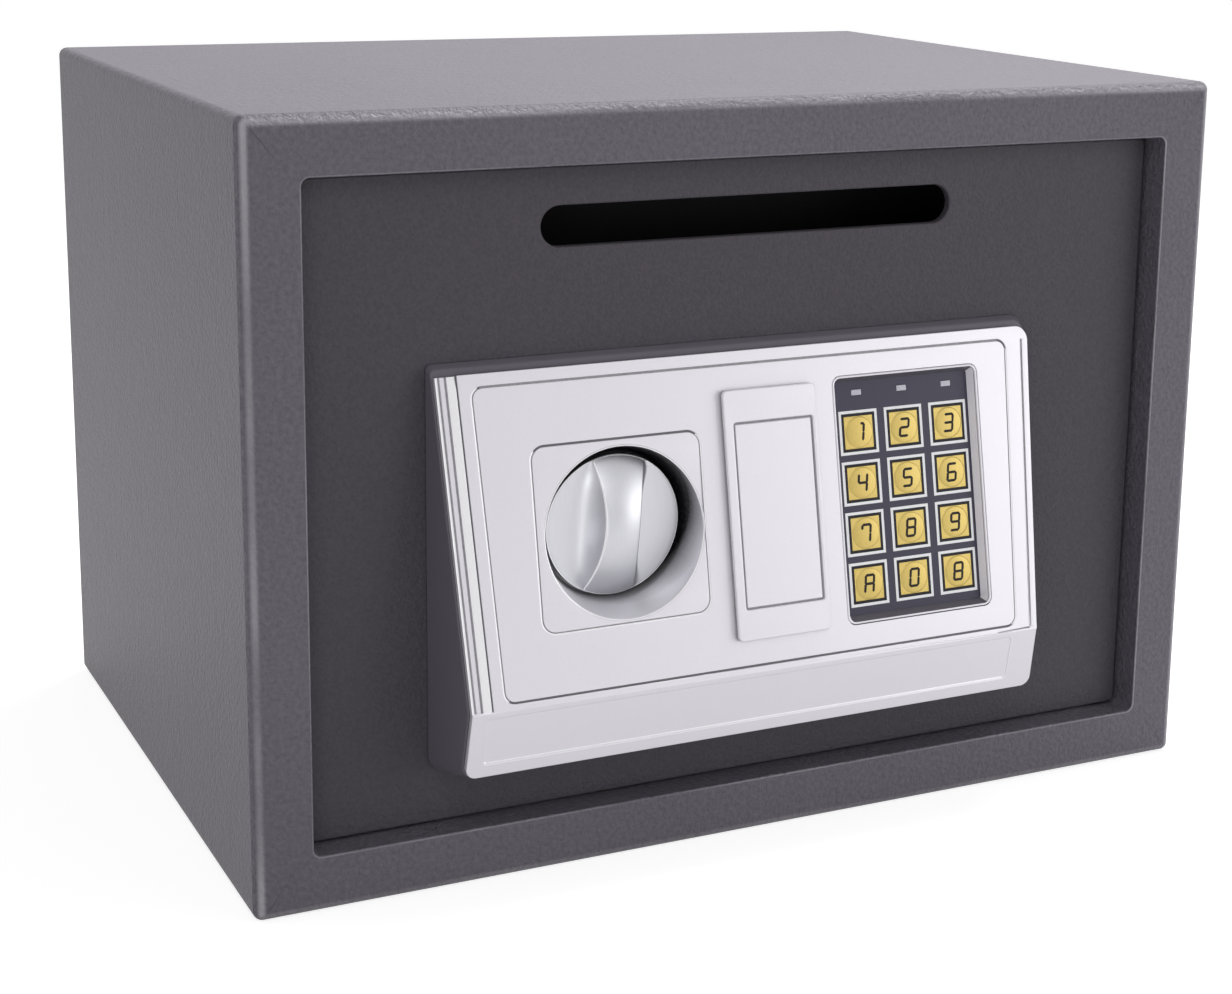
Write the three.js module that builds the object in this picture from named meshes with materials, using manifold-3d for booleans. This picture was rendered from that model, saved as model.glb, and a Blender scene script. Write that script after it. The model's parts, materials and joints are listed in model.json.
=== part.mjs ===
// Small electronic safe with a deposit slot in its door.
// Millimetres, +Z up, front towards -Y. The origin is the centre of the cabinet's underside.

import * as THREE from 'three';
import { mergeVertices } from 'three/addons/utils/BufferGeometryUtils.js';
import Module from 'manifold-3d';

const wasm = await Module();
wasm.setup();

// Driving dimensions

const seatGap = 0.3;
const overrun = 1;
const weldDistance = 0.0001;

const cabinet = {
	width: 350,
	height: 250,
	depth: 250,
	sheet: 1.5,
	edgeRadius: 3,
	frameStrip: 19,
	openingRadius: 2.5,
	sideReturn: 14,
	levelReturn: 22,
	anchorRadius: 5.5,
	anchorSpacing: 160,
	anchorRise: 160,
};

const door = {
	thickness: 3,
	recess: 9,
	gap: 1,
	hingeGap: 2,
	cornerRadius: 2,
	wireHoleRadius: 6,
};

const hinge = {
	inset: 16,
	setback: 3,
	pinRadius: 2.5,
	pinGrip: 12,
	blockWidth: 16,
	blockDepth: 9.5,
	blockHeight: 14,
	pinPast: 0.8,
};

const slot = {
	width: 150,
	height: 13,
	shift: -1.8,
	drop: 19,
};

const baffle = {
	sheet: 1.2,
	sideMargin: 15,
	topMargin: 1.5,
	flange: 9,
	topDepth: 27,
	footDepth: 35,
	height: 32,
};

const panel = {
	width: 220,
	shift: -5.7,
	rise: 17.4,
	topGap: 59.2,
	topProud: 6,
	topDrop: 3.2,
	bendProud: 26.6,
	bendRise: 26.8,
	chinProud: 22.3,
	chinRise: 4.5,
	sideDraftShare: 0.2,
	cornerRadius: 5,
	faceThickness: 2.2,
	wall: 2.4,
};

const bowl = {
	acrossShare: 0.27864,
	downShare: 0.51692,
	mouthRadius: 27.4,
	floorRadius: 24.4,
	floorGap: 0.5,
	wall: 1.8,
};

const knob = {
	radius: 23.4,
	rim: 3.7,
	chamfer: 0.6,
	floorGap: 0.8,
	gripHeight: 9,
	gripEnd: 18.8,
	gripWaist: 12.3,
	gripShoulder: 2.2,
	shaftRadius: 5,
	bushWall: 1.5,
	bushFlange: 3.5,
	bushFlangeThickness: 1.7,
};

const keypad = {
	acrossShare: 0.76591,
	downShare: 0.50364,
	widthShare: 0.25091,
	heightShare: 0.77206,
	windowRadius: 3,
	depth: 3.4,
	frameWall: 2,
	plateMargin: 2,
	plateThickness: 1,
	keyWidthShare: 0.67989,
	keyHeightShare: 0.69208,
	keyProud: 1,
	keyFlange: 0.7,
	keyFlangeThickness: 0.5,
	keyTravel: 0.6,
	columnShare: 0.31975,
	rowShare: 0.20946,
	firstRowShare: 0.2285,
	lensRowShare: 0.06388,
	lensWidth: 3.8,
	lensHeight: 1.9,
	lensProud: 0.2,
	boardThickness: 1.2,
	boardMargin: 3,
	postSize: 4,
};

const keyCover = {
	acrossShare: 0.52273,
	downShare: 0.50744,
	widthShare: 0.15545,
	heightShare: 0.77775,
	radius: 1.6,
	thickness: 2.2,
	tabShare: 0.122,
	tabWidth: 9,
	tabThickness: 1.4,
	tabDepth: 3.6,
};

const keyLock = {
	aboveKnob: 3.85,
	headRadius: 11,
	headBelowFace: 1.19,
	headClearance: 1,
	bodyRadius: 9,
	bodyBehind: 17,
	plugRadius: 6,
	plugProud: 0.5,
	keywayWidth: 2,
	keywayHeight: 7,
	keywayDepth: 3,
	nutRadius: 13,
	nutThickness: 4,
	tailWidth: 8,
	tailLength: 15.5,
	tailThickness: 2,
};

const bolt = {
	radius: 7,
	fromCoverLow: 36,
	fromCoverHigh: 18,
	behindPlate: 12,
	edgeInset: 5,
	length: 37.7,
	throw: 18,
	stubRadius: 3,
	stubLength: 8,
	nutRadius: 5.5,
	nutThickness: 3.5,
};

const carriage = {
	sheet: 2,
	flangeDepth: 15,
	edgeMargin: 14,
	tallWidth: 50,
	pinMargin: 11.4,
	armLeast: 21,
	armBelow: 13,
	armAbove: 22,
	planeGap: 1.7,
};

const crank = {
	discRadius: 17,
	thickness: 3,
	pinRadius: 3,
	slotClearance: 0.6,
	pinPast: 1.5,
};

const stud = {
	collarRadius: 5,
	neckRadius: 3,
	headRadius: 5.5,
	headThickness: 2,
	fromFlange: 20,
	fromBolt: 10,
};

const guide = {
	sheet: 1.5,
	depth: 25,
	foot: 11,
	margin: 15,
	fromCover: 3,
};

const solenoid = {
	width: 22,
	reach: 8,
	liftShare: 0.31063,
	heightShare: 0.57348,
	plungerRadius: 3,
	insideShare: 0.70833,
	collarRadius: 4.8,
	collarThickness: 2,
	collarShare: 0.42308,
	edgeInset: 9,
};

const cover = {
	left: 17,
	right: 44,
	bottom: 14,
	top: 52,
	depth: 30,
	sheet: 1.2,
	flange: 8,
	boltClearance: 0.7,
	screwInset: 15,
	screwHeadRadius: 3.5,
	screwHeadThickness: 2.2,
	screwRadius: 1.8,
	screwDepth: 2,
};

const battery = {
	radius: 7.1,
	length: 49.3,
	nubRadius: 2.7,
	nubLength: 1,
	count: 4,
	pitch: 15,
	fromCoverRight: 49,
	fromCoverLow: 40,
	boxWall: 1.5,
	lidMargin: 4,
	lidThickness: 1.6,
	tabWidth: 10,
	tabThickness: 1.4,
	tabDepth: 2,
};

const reset = {
	fromCoverRight: 15,
	riseShare: 0.63085,
	radius: 4,
	proud: 1.8,
	length: 8.5,
	travel: 1.5,
	switchWidth: 14,
	switchBase: 4,
};

// Places worked out from the dimensions

const cabinetFront = -cabinet.depth / 2;
const openingSide = cabinet.width / 2 - cabinet.frameStrip;
const openingLow = cabinet.frameStrip;
const openingHigh = cabinet.height - cabinet.frameStrip;

// Door places count y from the door's front face, positive into the cabinet
const doorLeft = -openingSide + door.gap;
const doorRight = openingSide - door.hingeGap;
const doorLow = openingLow + door.gap;
const doorHigh = openingHigh - door.gap;
const behindDoor = door.thickness + seatGap;
const hingeX = openingSide - hinge.inset;
const hingeY = door.thickness + hinge.setback;

const panelLeft = panel.shift - panel.width / 2;
const panelRight = panel.shift + panel.width / 2;
const panelLow = doorLow + panel.rise;
const panelHigh = doorHigh - panel.topGap;
const topEdge = new THREE.Vector2(-panel.topProud, panelHigh - panel.topDrop);
const bendEdge = new THREE.Vector2(-panel.bendProud, panelLow + panel.bendRise);
const chinEdge = new THREE.Vector2(-panel.chinProud, panelLow + panel.chinRise);
const faceDown = bendEdge.clone().sub(topEdge).normalize();
const chinDown = chinEdge.clone().sub(bendEdge).normalize();
const faceTilt = Math.atan2(-faceDown.x, -faceDown.y);

// The face frame has x across, y into the face and z up the slope, from the face's top edge
const faceFrame = new THREE.Matrix4().makeRotationX(-faceTilt);
faceFrame.setPosition(0, topEdge.x, topEdge.y);

// Shares across and down the face give each thing on it its place and size
const faceLength = topEdge.distanceTo(bendEdge);

function acrossPanel(share) {
	return panelLeft + share * panel.width;
}

const bowlX = acrossPanel(bowl.acrossShare);
const bowlDown = bowl.downShare * faceLength;
const knobHeight = topEdge.clone().addScaledVector(faceDown, bowlDown).y;
const bowlFloor = -bowl.floorGap - bowl.wall;
const knobBack = bowlFloor - knob.floorGap;
const knobFront = knobBack - knob.rim;

const keypadX = acrossPanel(keypad.acrossShare);
const keypadDown = keypad.downShare * faceLength;
const windowWidth = keypad.widthShare * panel.width;
const windowHeight = keypad.heightShare * faceLength;
const windowTop = keypadDown - windowHeight / 2;
const columnPitch = keypad.columnShare * windowWidth;
const rowPitch = keypad.rowShare * windowHeight;
const keyWidth = keypad.keyWidthShare * columnPitch;
const keyHeight = keypad.keyHeightShare * rowPitch;

const keyCoverX = acrossPanel(keyCover.acrossShare);
const keyCoverDown = keyCover.downShare * faceLength;
const keyCoverWidth = keyCover.widthShare * panel.width;
const keyCoverHeight = keyCover.heightShare * faceLength;

// The lock's head stays under the face where the face is lowest over it
const lockHeight = knobHeight + keyLock.aboveKnob;
const lockTop = lockHeight + keyLock.headRadius;
const faceOverLock = topEdge.x + faceDown.x * (lockTop - topEdge.y) / faceDown.y;
const lockFront = faceOverLock + keyLock.headBelowFace;

const crankRadius = bolt.throw / Math.SQRT2;
const crankSwing = crankRadius / Math.SQRT2;
const bushRadius = knob.shaftRadius + seatGap + knob.bushWall;

const boltTip = doorLeft + bolt.edgeInset;
const boltY = behindDoor + bolt.behindPlate;
const carriageFront = boltY + bolt.nutRadius + seatGap;
const carriageBack = carriageFront + carriage.sheet;
const crankBack = carriageFront - carriage.planeGap;
const crankFront = crankBack - crank.thickness;
const bushEnd = crankFront - seatGap;
const flangeLeft = boltTip + bolt.length + seatGap;
const flangeRight = flangeLeft + carriage.sheet;
const tallRight = flangeRight + carriage.tallWidth;
const armRight = Math.max(bowlX + crankSwing + carriage.pinMargin, tallRight + carriage.armLeast);
const armHigh = knobHeight + carriage.armAbove;

const coverLeft = doorLeft + cover.left;
const coverRight = doorRight - cover.right;
const coverLow = doorLow + cover.bottom;
const coverHigh = doorHigh - cover.top;
const coverBack = behindDoor + cover.depth;
const coverInside = coverBack - cover.sheet;
const boltLow = coverLow + bolt.fromCoverLow;
const boltHigh = coverHigh - bolt.fromCoverHigh;

const keys = ['1', '2', '3', '4', '5', '6', '7', '8', '9', 'a', '0', 'b'];
const columns = 3;

// Step counts for round stretches

const roundSteps = 16;
const wideSteps = 28;
const cornerSteps = 3;

// Solids

function solidOf(geometry) {
	const bare = new THREE.BufferGeometry();
	bare.setAttribute('position', geometry.getAttribute('position'));
	bare.setIndex(geometry.getIndex());
	const merged = mergeVertices(bare, weldDistance);
	const all = merged.getIndex().array;
	const kept = [];
	for (let i = 0; i < all.length; i += 3) {
		const [a, b, c] = [all[i], all[i + 1], all[i + 2]];
		if (a !== b && b !== c && c !== a) kept.push(a, b, c);
	}
	const vertProperties = merged.getAttribute('position').array;
	if (signedVolume(vertProperties, kept) < 0) kept.reverse();
	const triVerts = new Uint32Array(kept);
	return new wasm.Manifold(new wasm.Mesh({ numProp: 3, vertProperties, triVerts }));
}

// Six times the volume inside the faces, negative where they face inwards
function signedVolume(positions, corners) {
	const [a, b, c] = [new THREE.Vector3(), new THREE.Vector3(), new THREE.Vector3()];
	let total = 0;
	for (let i = 0; i < corners.length; i += 3) {
		a.fromArray(positions, 3 * corners[i]);
		b.fromArray(positions, 3 * corners[i + 1]);
		c.fromArray(positions, 3 * corners[i + 2]);
		total += a.dot(b.cross(c));
	}
	return total;
}

function block([x0, x1], [y0, y1], [z0, z1], frame = new THREE.Matrix4()) {
	const geometry = new THREE.BoxGeometry(x1 - x0, y1 - y0, z1 - z0);
	geometry.translate((x0 + x1) / 2, (y0 + y1) / 2, (z0 + z1) / 2);
	return solidOf(geometry.applyMatrix4(frame));
}

// A shape drawn in x and z, stretched along y
function slab(shape, [y0, y1], frame = new THREE.Matrix4()) {
	const options = { depth: y1 - y0, bevelEnabled: false, curveSegments: cornerSteps * 2 };
	const geometry = new THREE.ExtrudeGeometry(shape, options);
	geometry.rotateX(Math.PI / 2);
	geometry.translate(0, y1, 0);
	return solidOf(geometry.applyMatrix4(frame));
}

// A shape drawn in y and z, stretched along x
function beam(points, [x0, x1]) {
	const geometry = new THREE.ExtrudeGeometry(new THREE.Shape(points), {
		depth: x1 - x0,
		bevelEnabled: false,
	});
	const basis = new THREE.Matrix4().makeBasis(
		new THREE.Vector3(0, 1, 0),
		new THREE.Vector3(0, 0, 1),
		new THREE.Vector3(1, 0, 0),
	);
	geometry.applyMatrix4(basis);
	geometry.translate(x0, 0, 0);
	return solidOf(geometry);
}

// A profile of radius and place, turned about the axis named and moved to the point given
function turned(profile, axis, [x, y, z], steps = roundSteps) {
	const points = profile.map(([radius, along]) => new THREE.Vector2(radius, along));
	const geometry = new THREE.LatheGeometry(points, steps);
	if (axis === 'x') geometry.rotateZ(-Math.PI / 2);
	if (axis === 'z') geometry.rotateX(Math.PI / 2);
	geometry.translate(x, y, z);
	return solidOf(geometry);
}

function rod(radius, [from, to], axis, place, steps = roundSteps) {
	return turned([[0, from], [radius, from], [radius, to], [0, to]], axis, place, steps);
}

function loft(rings) {
	const count = rings[0].length;
	const positions = rings.flat().flatMap((point) => point.toArray());
	const index = [];
	for (let ring = 0; ring + 1 < rings.length; ring++) {
		for (let i = 0; i < count; i++) {
			const near = ring * count + i;
			const next = ring * count + (i + 1) % count;
			index.push(near, next, next + count, near, next + count, near + count);
		}
	}
	const last = (rings.length - 1) * count;
	for (let i = 1; i + 1 < count; i++) {
		index.push(0, i + 1, i);
		index.push(last, last + i, last + i + 1);
	}
	const geometry = new THREE.BufferGeometry();
	geometry.setAttribute('position', new THREE.Float32BufferAttribute(positions, 3));
	geometry.setIndex(index);
	return solidOf(geometry);
}

// Outlines

function roundRect([x0, x1], [z0, z1], radius) {
	const shape = new THREE.Shape();
	shape.absarc(x1 - radius, z0 + radius, radius, -Math.PI / 2, 0);
	shape.absarc(x1 - radius, z1 - radius, radius, 0, Math.PI / 2);
	shape.absarc(x0 + radius, z1 - radius, radius, Math.PI / 2, Math.PI);
	shape.absarc(x0 + radius, z0 + radius, radius, Math.PI, Math.PI * 1.5);
	return shape;
}

function stadium(centreX, centreZ, width, height) {
	const radius = height / 2;
	const reach = width / 2 - radius;
	const shape = new THREE.Shape();
	shape.absarc(centreX + reach, centreZ, radius, -Math.PI / 2, Math.PI / 2);
	shape.absarc(centreX - reach, centreZ, radius, Math.PI / 2, Math.PI * 1.5);
	return shape;
}

// A rounded rectangle as a ring of points at one y, run so that a loft towards +y faces out
function rectRing([x0, x1], [z0, z1], radius, y) {
	const centres = [
		[x1 - radius, z0 + radius, -Math.PI / 2],
		[x1 - radius, z1 - radius, 0],
		[x0 + radius, z1 - radius, Math.PI / 2],
		[x0 + radius, z0 + radius, Math.PI],
	];
	const ring = [];
	for (const [x, z, start] of centres) {
		for (let step = 0; step <= cornerSteps; step++) {
			const angle = start + (Math.PI / 2) * step / cornerSteps;
			ring.push(new THREE.Vector3(x + radius * Math.cos(angle), y, z + radius * Math.sin(angle)));
		}
	}
	return ring.reverse();
}

function centred(middle, size) {
	return [middle - size / 2, middle + size / 2];
}

// A span down the face's slope, as heights in the face frame
function downSlope(middle, size) {
	return [-middle - size / 2, -middle + size / 2];
}

function add(solids) {
	return solids.reduce((whole, solid) => whole.add(solid));
}

function cut(solid, tools) {
	return tools.reduce((whole, tool) => whole.subtract(tool), solid);
}

function piece(name, solid, finish) {
	const found = solid.getMesh();
	const geometry = new THREE.BufferGeometry();
	geometry.setAttribute('position', new THREE.BufferAttribute(found.vertProperties, 3));
	geometry.setIndex(new THREE.BufferAttribute(found.triVerts, 1));
	geometry.computeVertexNormals();
	const mesh = new THREE.Mesh(geometry, new THREE.MeshStandardMaterial(finish));
	mesh.name = name;
	return mesh;
}

const finishes = {
	cabinetPaint: { color: 0x6f6e74, roughness: 0.6, metalness: 0.1 },
	doorPaint: { color: 0x4a474d, roughness: 0.55, metalness: 0.1 },
	greyPlastic: { color: 0x5c5a61, roughness: 0.5, metalness: 0 },
	silver: { color: 0xdcdae0, roughness: 0.35, metalness: 0.6 },
	satinChrome: { color: 0xc8c8ce, roughness: 0.25, metalness: 0.95 },
	navy: { color: 0x3c3a4b, roughness: 0.4, metalness: 0 },
	gold: { color: 0xcbaf5d, roughness: 0.35, metalness: 0.7 },
	lens: { color: 0xc4c0ce, roughness: 0.3, metalness: 0 },
	board: { color: 0x2f6b3d, roughness: 0.5, metalness: 0 },
	zinc: { color: 0xb4b6b8, roughness: 0.4, metalness: 0.9 },
	brass: { color: 0xb8975a, roughness: 0.35, metalness: 0.9 },
	blackPlastic: { color: 0x222224, roughness: 0.5, metalness: 0 },
	red: { color: 0xb3261e, roughness: 0.4, metalness: 0 },
	cell: { color: 0x3d4d63, roughness: 0.35, metalness: 0.3 },
};

// Cabinet: one folded and welded shell, with a framed opening and a back let in behind

function cabinetShell() {
	const side = cabinet.width / 2;
	const back = cabinet.depth / 2;
	const rings = [];
	for (let step = 0; step <= cornerSteps; step++) {
		const angle = (Math.PI / 2) * step / cornerSteps;
		const inset = cabinet.edgeRadius * (1 - Math.sin(angle));
		const setIn = cabinet.edgeRadius * (1 - Math.cos(angle));
		rings.push(rectRing(
			[inset - side, side - inset],
			[inset, cabinet.height - inset],
			cabinet.edgeRadius,
			cabinetFront + setIn,
		));
	}
	rings.push(rectRing([-side, side], [0, cabinet.height], cabinet.edgeRadius, back));
	const inside = slab(
		roundRect(
			[cabinet.sheet - side, side - cabinet.sheet],
			[cabinet.sheet, cabinet.height - cabinet.sheet],
			cabinet.edgeRadius - cabinet.sheet,
		),
		[cabinetFront + cabinet.sheet, back + overrun],
	);
	const opening = slab(
		roundRect([-openingSide, openingSide], [openingLow, openingHigh], cabinet.openingRadius),
		[cabinetFront - overrun, cabinetFront + cabinet.levelReturn + overrun],
	);
	const returns = slab(
		roundRect(
			[-openingSide - cabinet.sheet, openingSide + cabinet.sheet],
			[openingLow - cabinet.sheet, openingHigh + cabinet.sheet],
			cabinet.openingRadius + cabinet.sheet,
		),
		[cabinetFront + cabinet.edgeRadius / 2, cabinetFront + cabinet.levelReturn],
	);
	const cornerFoot = cabinet.openingRadius + cabinet.sheet;
	const shorten = [-1, 1].map((hand) => block(
		centred(hand * openingSide, 2 * (cabinet.sheet + overrun)),
		[cabinetFront + cabinet.sideReturn, cabinetFront + cabinet.levelReturn + overrun],
		[openingLow + cornerFoot, openingHigh - cornerFoot],
	));
	const pinHoles = [openingLow, openingHigh].map((height) => rod(
		hinge.pinRadius + seatGap,
		centred(height, 2 * (cabinet.sheet + overrun)),
		'z',
		[hingeX, cabinetFront + door.recess + hingeY, 0],
	));
	const anchors = [-1, 1].map((hand) => rod(
		cabinet.anchorRadius,
		[-overrun, cabinet.sheet + overrun],
		'z',
		[hand * cabinet.anchorSpacing / 2, 0, 0],
	));
	const framed = loft(rings).subtract(inside).add(returns);
	return cut(framed, [opening, ...shorten, ...pinHoles, ...anchors]);
}

function backPanel() {
	const edge = cabinet.sheet + seatGap;
	const back = cabinet.depth / 2;
	const plate = slab(
		roundRect(
			[edge - cabinet.width / 2, cabinet.width / 2 - edge],
			[edge, cabinet.height - edge],
			cabinet.edgeRadius - cabinet.sheet,
		),
		[back - cabinet.sheet, back],
	);
	const holes = [-1, 1].map((hand) => rod(
		cabinet.anchorRadius,
		[back - cabinet.sheet - overrun, back + overrun],
		'y',
		[hand * cabinet.anchorSpacing / 2, 0, cabinet.anchorRise],
	));
	return cut(plate, holes);
}

// Door plate and what is fixed to its inner side

const screwPlaces = [
	[coverLeft + cover.screwInset, coverLow - cover.flange / 2],
	[coverRight - cover.screwInset, coverLow - cover.flange / 2],
	[coverLeft + cover.screwInset, coverHigh + cover.flange / 2],
	[coverRight - cover.screwInset, coverHigh + cover.flange / 2],
];

function doorPlate() {
	const through = [-overrun, door.thickness + overrun];
	const plate = slab(
		roundRect([doorLeft, doorRight], [doorLow, doorHigh], door.cornerRadius),
		[0, door.thickness],
	);
	const slotCut = slab(
		stadium(slot.shift, doorHigh - slot.drop, slot.width, slot.height),
		through,
	);
	const shaftHole = rod(bushRadius + seatGap, through, 'y', [bowlX, 0, knobHeight]);
	const lockHole = rod(keyLock.bodyRadius + seatGap, through, 'y', [keyCoverX, 0, lockHeight]);
	const wireHole = rod(door.wireHoleRadius, through, 'y', [keypadX, 0, lockHeight]);
	const screwHoles = screwPlaces.map(([x, z]) => rod(
		cover.screwRadius + seatGap,
		[door.thickness - cover.screwDepth, door.thickness + overrun],
		'y',
		[x, 0, z],
	));
	return cut(plate, [slotCut, shaftHole, lockHole, wireHole, ...screwHoles]);
}

function slotBaffle() {
	const left = slot.shift - slot.width / 2 - baffle.sideMargin;
	const right = slot.shift + slot.width / 2 + baffle.sideMargin;
	const top = doorHigh - slot.drop + slot.height / 2 + baffle.topMargin + baffle.sheet;
	const foot = top - baffle.height;
	const topBack = behindDoor + baffle.topDepth;
	const footBack = behindDoor + baffle.footDepth;
	const lean = (footBack - topBack) / baffle.height;
	const outer = beam([
		new THREE.Vector2(behindDoor, top),
		new THREE.Vector2(topBack, top),
		new THREE.Vector2(footBack, foot),
		new THREE.Vector2(behindDoor, foot),
	], [left, right]);
	const innerFoot = footBack - baffle.sheet + lean * overrun;
	const inner = beam([
		new THREE.Vector2(behindDoor - overrun, top - baffle.sheet),
		new THREE.Vector2(topBack - baffle.sheet + lean * baffle.sheet, top - baffle.sheet),
		new THREE.Vector2(innerFoot, foot - overrun),
		new THREE.Vector2(behindDoor - overrun, foot - overrun),
	], [left + baffle.sheet, right - baffle.sheet]);
	const flange = block(
		[left, right],
		[behindDoor, behindDoor + baffle.sheet],
		[top - baffle.sheet / 2, top - baffle.sheet + baffle.flange],
	);
	return outer.subtract(inner).add(flange);
}

function hingeBlock(outer, inward) {
	const edge = outer + inward * seatGap;
	const span = [edge, edge + inward * hinge.blockHeight].sort((a, b) => a - b);
	const body = block(
		centred(hingeX, hinge.blockWidth),
		[behindDoor, behindDoor + hinge.blockDepth],
		span,
	);
	const gripEnd = edge + inward * hinge.pinGrip;
	const holeSpan = [edge - inward * overrun, gripEnd].sort((a, b) => a - b);
	return body.subtract(rod(hinge.pinRadius + seatGap, holeSpan, 'z', [hingeX, hingeY, 0]));
}

function hingePin(outer, inward) {
	const inner = outer + inward * (hinge.pinGrip);
	const far = outer - inward * (door.gap + cabinet.sheet + hinge.pinPast);
	const span = [inner, far].sort((a, b) => a - b);
	return rod(hinge.pinRadius, span, 'z', [hingeX, hingeY, 0]);
}

// Lock panel: a drafted housing closed by a tilted face with a chin

// The front's outline from the side, moved into the body by a depth and run on at both ends
function frontLine(depth) {
	const faceIn = new THREE.Vector2(-faceDown.y, faceDown.x);
	const chinIn = new THREE.Vector2(-chinDown.y, chinDown.x);
	const between = faceIn.clone().add(chinIn).normalize();
	const runOn = panel.topProud + panel.topDrop;
	const top = topEdge.clone().addScaledVector(faceIn, depth).addScaledVector(faceDown, -runOn);
	const bend = bendEdge.clone().addScaledVector(between, depth / between.dot(faceIn));
	const chin = chinEdge.clone().addScaledVector(chinIn, depth).addScaledVector(chinDown, runOn);
	return [top, bend, chin];
}

// The drafted body of the panel, moved in from its walls by an inset
function draftedBody(inset) {
	const topShare = panel.topDrop / panel.topProud;
	const chinShare = panel.chinRise / panel.chinProud;
	const rings = [-panel.bendProud - overrun, overrun].map((y) => rectRing(
		[panelLeft - panel.sideDraftShare * y + inset, panelRight + panel.sideDraftShare * y - inset],
		[panelLow - chinShare * y + inset, panelHigh + topShare * y - inset],
		panel.cornerRadius - inset / 2,
		y,
	));
	return loft(rings);
}

function panelHousing() {
	const front = frontLine(panel.faceThickness + seatGap);
	const past = panel.topProud + panel.topDrop;
	const outline = [
		...front,
		new THREE.Vector2(-seatGap, panelLow - past),
		new THREE.Vector2(-seatGap, panelHigh + past),
	];
	const across = [panelLeft - overrun, panelRight + overrun];
	return draftedBody(0).intersect(beam(outline, across)).subtract(draftedBody(panel.wall));
}

function circleRing(radius, place) {
	const ring = [];
	for (let step = 0; step < wideSteps; step++) {
		const angle = -2 * Math.PI * step / wideSteps;
		ring.push(place(radius * Math.cos(angle), radius * Math.sin(angle)));
	}
	return ring;
}

// The round bowl runs from a circle on the tilted face to a smaller upright one at its floor
function bowlSolid(grow, mouthDepth, floorY) {
	const onFace = (x, z) => new THREE.Vector3(bowlX + x, mouthDepth, z - bowlDown)
		.applyMatrix4(faceFrame);
	const onFloor = (x, z) => new THREE.Vector3(bowlX + x, floorY, z + knobHeight);
	return loft([
		circleRing(bowl.mouthRadius + grow, onFace),
		circleRing(bowl.floorRadius + grow, onFloor),
	]);
}

function panelFace() {
	const across = [panelLeft - overrun, panelRight + overrun];
	const outline = [...frontLine(0), ...frontLine(panel.faceThickness).reverse()];
	const skin = draftedBody(0).intersect(beam(outline, across));
	const frameDepth = keypad.depth - seatGap;
	const keypadFrame = slab(
		roundRect(
			centred(keypadX, windowWidth + 2 * keypad.frameWall),
			downSlope(keypadDown, windowHeight + 2 * keypad.frameWall),
			keypad.windowRadius,
		),
		[panel.faceThickness / 2, frameDepth],
		faceFrame,
	);
	const keypadWindow = slab(
		roundRect(
			centred(keypadX, windowWidth),
			downSlope(keypadDown, windowHeight),
			keypad.windowRadius,
		),
		[-overrun, frameDepth + overrun],
		faceFrame,
	);
	const lockHole = rod(
		keyLock.headRadius + keyLock.headClearance,
		[-panel.bendProud, -panel.topProud],
		'y',
		[keyCoverX, 0, lockHeight],
	);
	const tabSlots = coverTabPlaces.map((slopeDown) => block(
		centred(keyCoverX, keyCover.tabWidth + 2 * seatGap),
		[-overrun, panel.faceThickness + overrun],
		downSlope(slopeDown, keyCover.tabThickness + 2 * seatGap),
		faceFrame,
	));
	const bowlWall = bowlSolid(bowl.wall, panel.faceThickness / 2, -bowl.floorGap);
	const bowlInside = bowlSolid(0, -overrun / 2, bowlFloor);
	const shaftHole = rod(
		bushRadius + seatGap,
		[bowlFloor - overrun, overrun],
		'y',
		[bowlX, 0, knobHeight],
	);
	const whole = add([skin, keypadFrame, bowlWall, ...boardPosts()]);
	return cut(whole, [keypadWindow, lockHole, ...tabSlots, bowlInside, shaftHole]);
}

// Posts behind the face carry the keypad's board at its corners
const boardDepth = keypad.depth + keypad.plateThickness + 2 * seatGap
	+ keypad.keyFlangeThickness + keypad.keyTravel + seatGap;
const boardWidth = windowWidth + 2 * (keypad.plateMargin + keypad.boardMargin + keypad.postSize);
const boardHeight = windowHeight;

function boardPosts() {
	const reachX = (boardWidth - keypad.postSize) / 2;
	const reachZ = (boardHeight - keypad.postSize) / 2;
	const posts = [];
	for (const handX of [-1, 1]) {
		for (const handZ of [-1, 1]) {
			posts.push(block(
				centred(keypadX + handX * reachX, keypad.postSize),
				[panel.faceThickness / 2, boardDepth - seatGap],
				downSlope(keypadDown + handZ * reachZ, keypad.postSize),
				faceFrame,
			));
		}
	}
	return posts;
}

// Keypad, in the face frame

function keyPlace(number) {
	const column = number % columns - (columns - 1) / 2;
	const row = Math.floor(number / columns);
	return [
		keypadX + column * columnPitch,
		-windowTop - keypad.firstRowShare * windowHeight - row * rowPitch,
	];
}

function lensPlace(number) {
	return [keypadX + (number - 1) * columnPitch, -windowTop - keypad.lensRowShare * windowHeight];
}

function keypadPlate() {
	const through = [keypad.depth - overrun, keypad.depth + keypad.plateThickness + overrun];
	const plate = block(
		centred(keypadX, windowWidth + 2 * keypad.plateMargin),
		[keypad.depth, keypad.depth + keypad.plateThickness],
		downSlope(keypadDown, windowHeight + 2 * keypad.plateMargin),
	);
	const keyHoles = keys.map((_, number) => {
		const [x, z] = keyPlace(number);
		return block(
			centred(x, keyWidth + 2 * seatGap),
			through,
			centred(z, keyHeight + 2 * seatGap),
		);
	});
	const lensHoles = [0, 1, 2].map((number) => {
		const [x, z] = lensPlace(number);
		return block(
			centred(x, keypad.lensWidth + 2 * seatGap),
			through,
			centred(z, keypad.lensHeight + 2 * seatGap),
		);
	});
	return cut(plate, [...keyHoles, ...lensHoles]);
}

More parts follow.
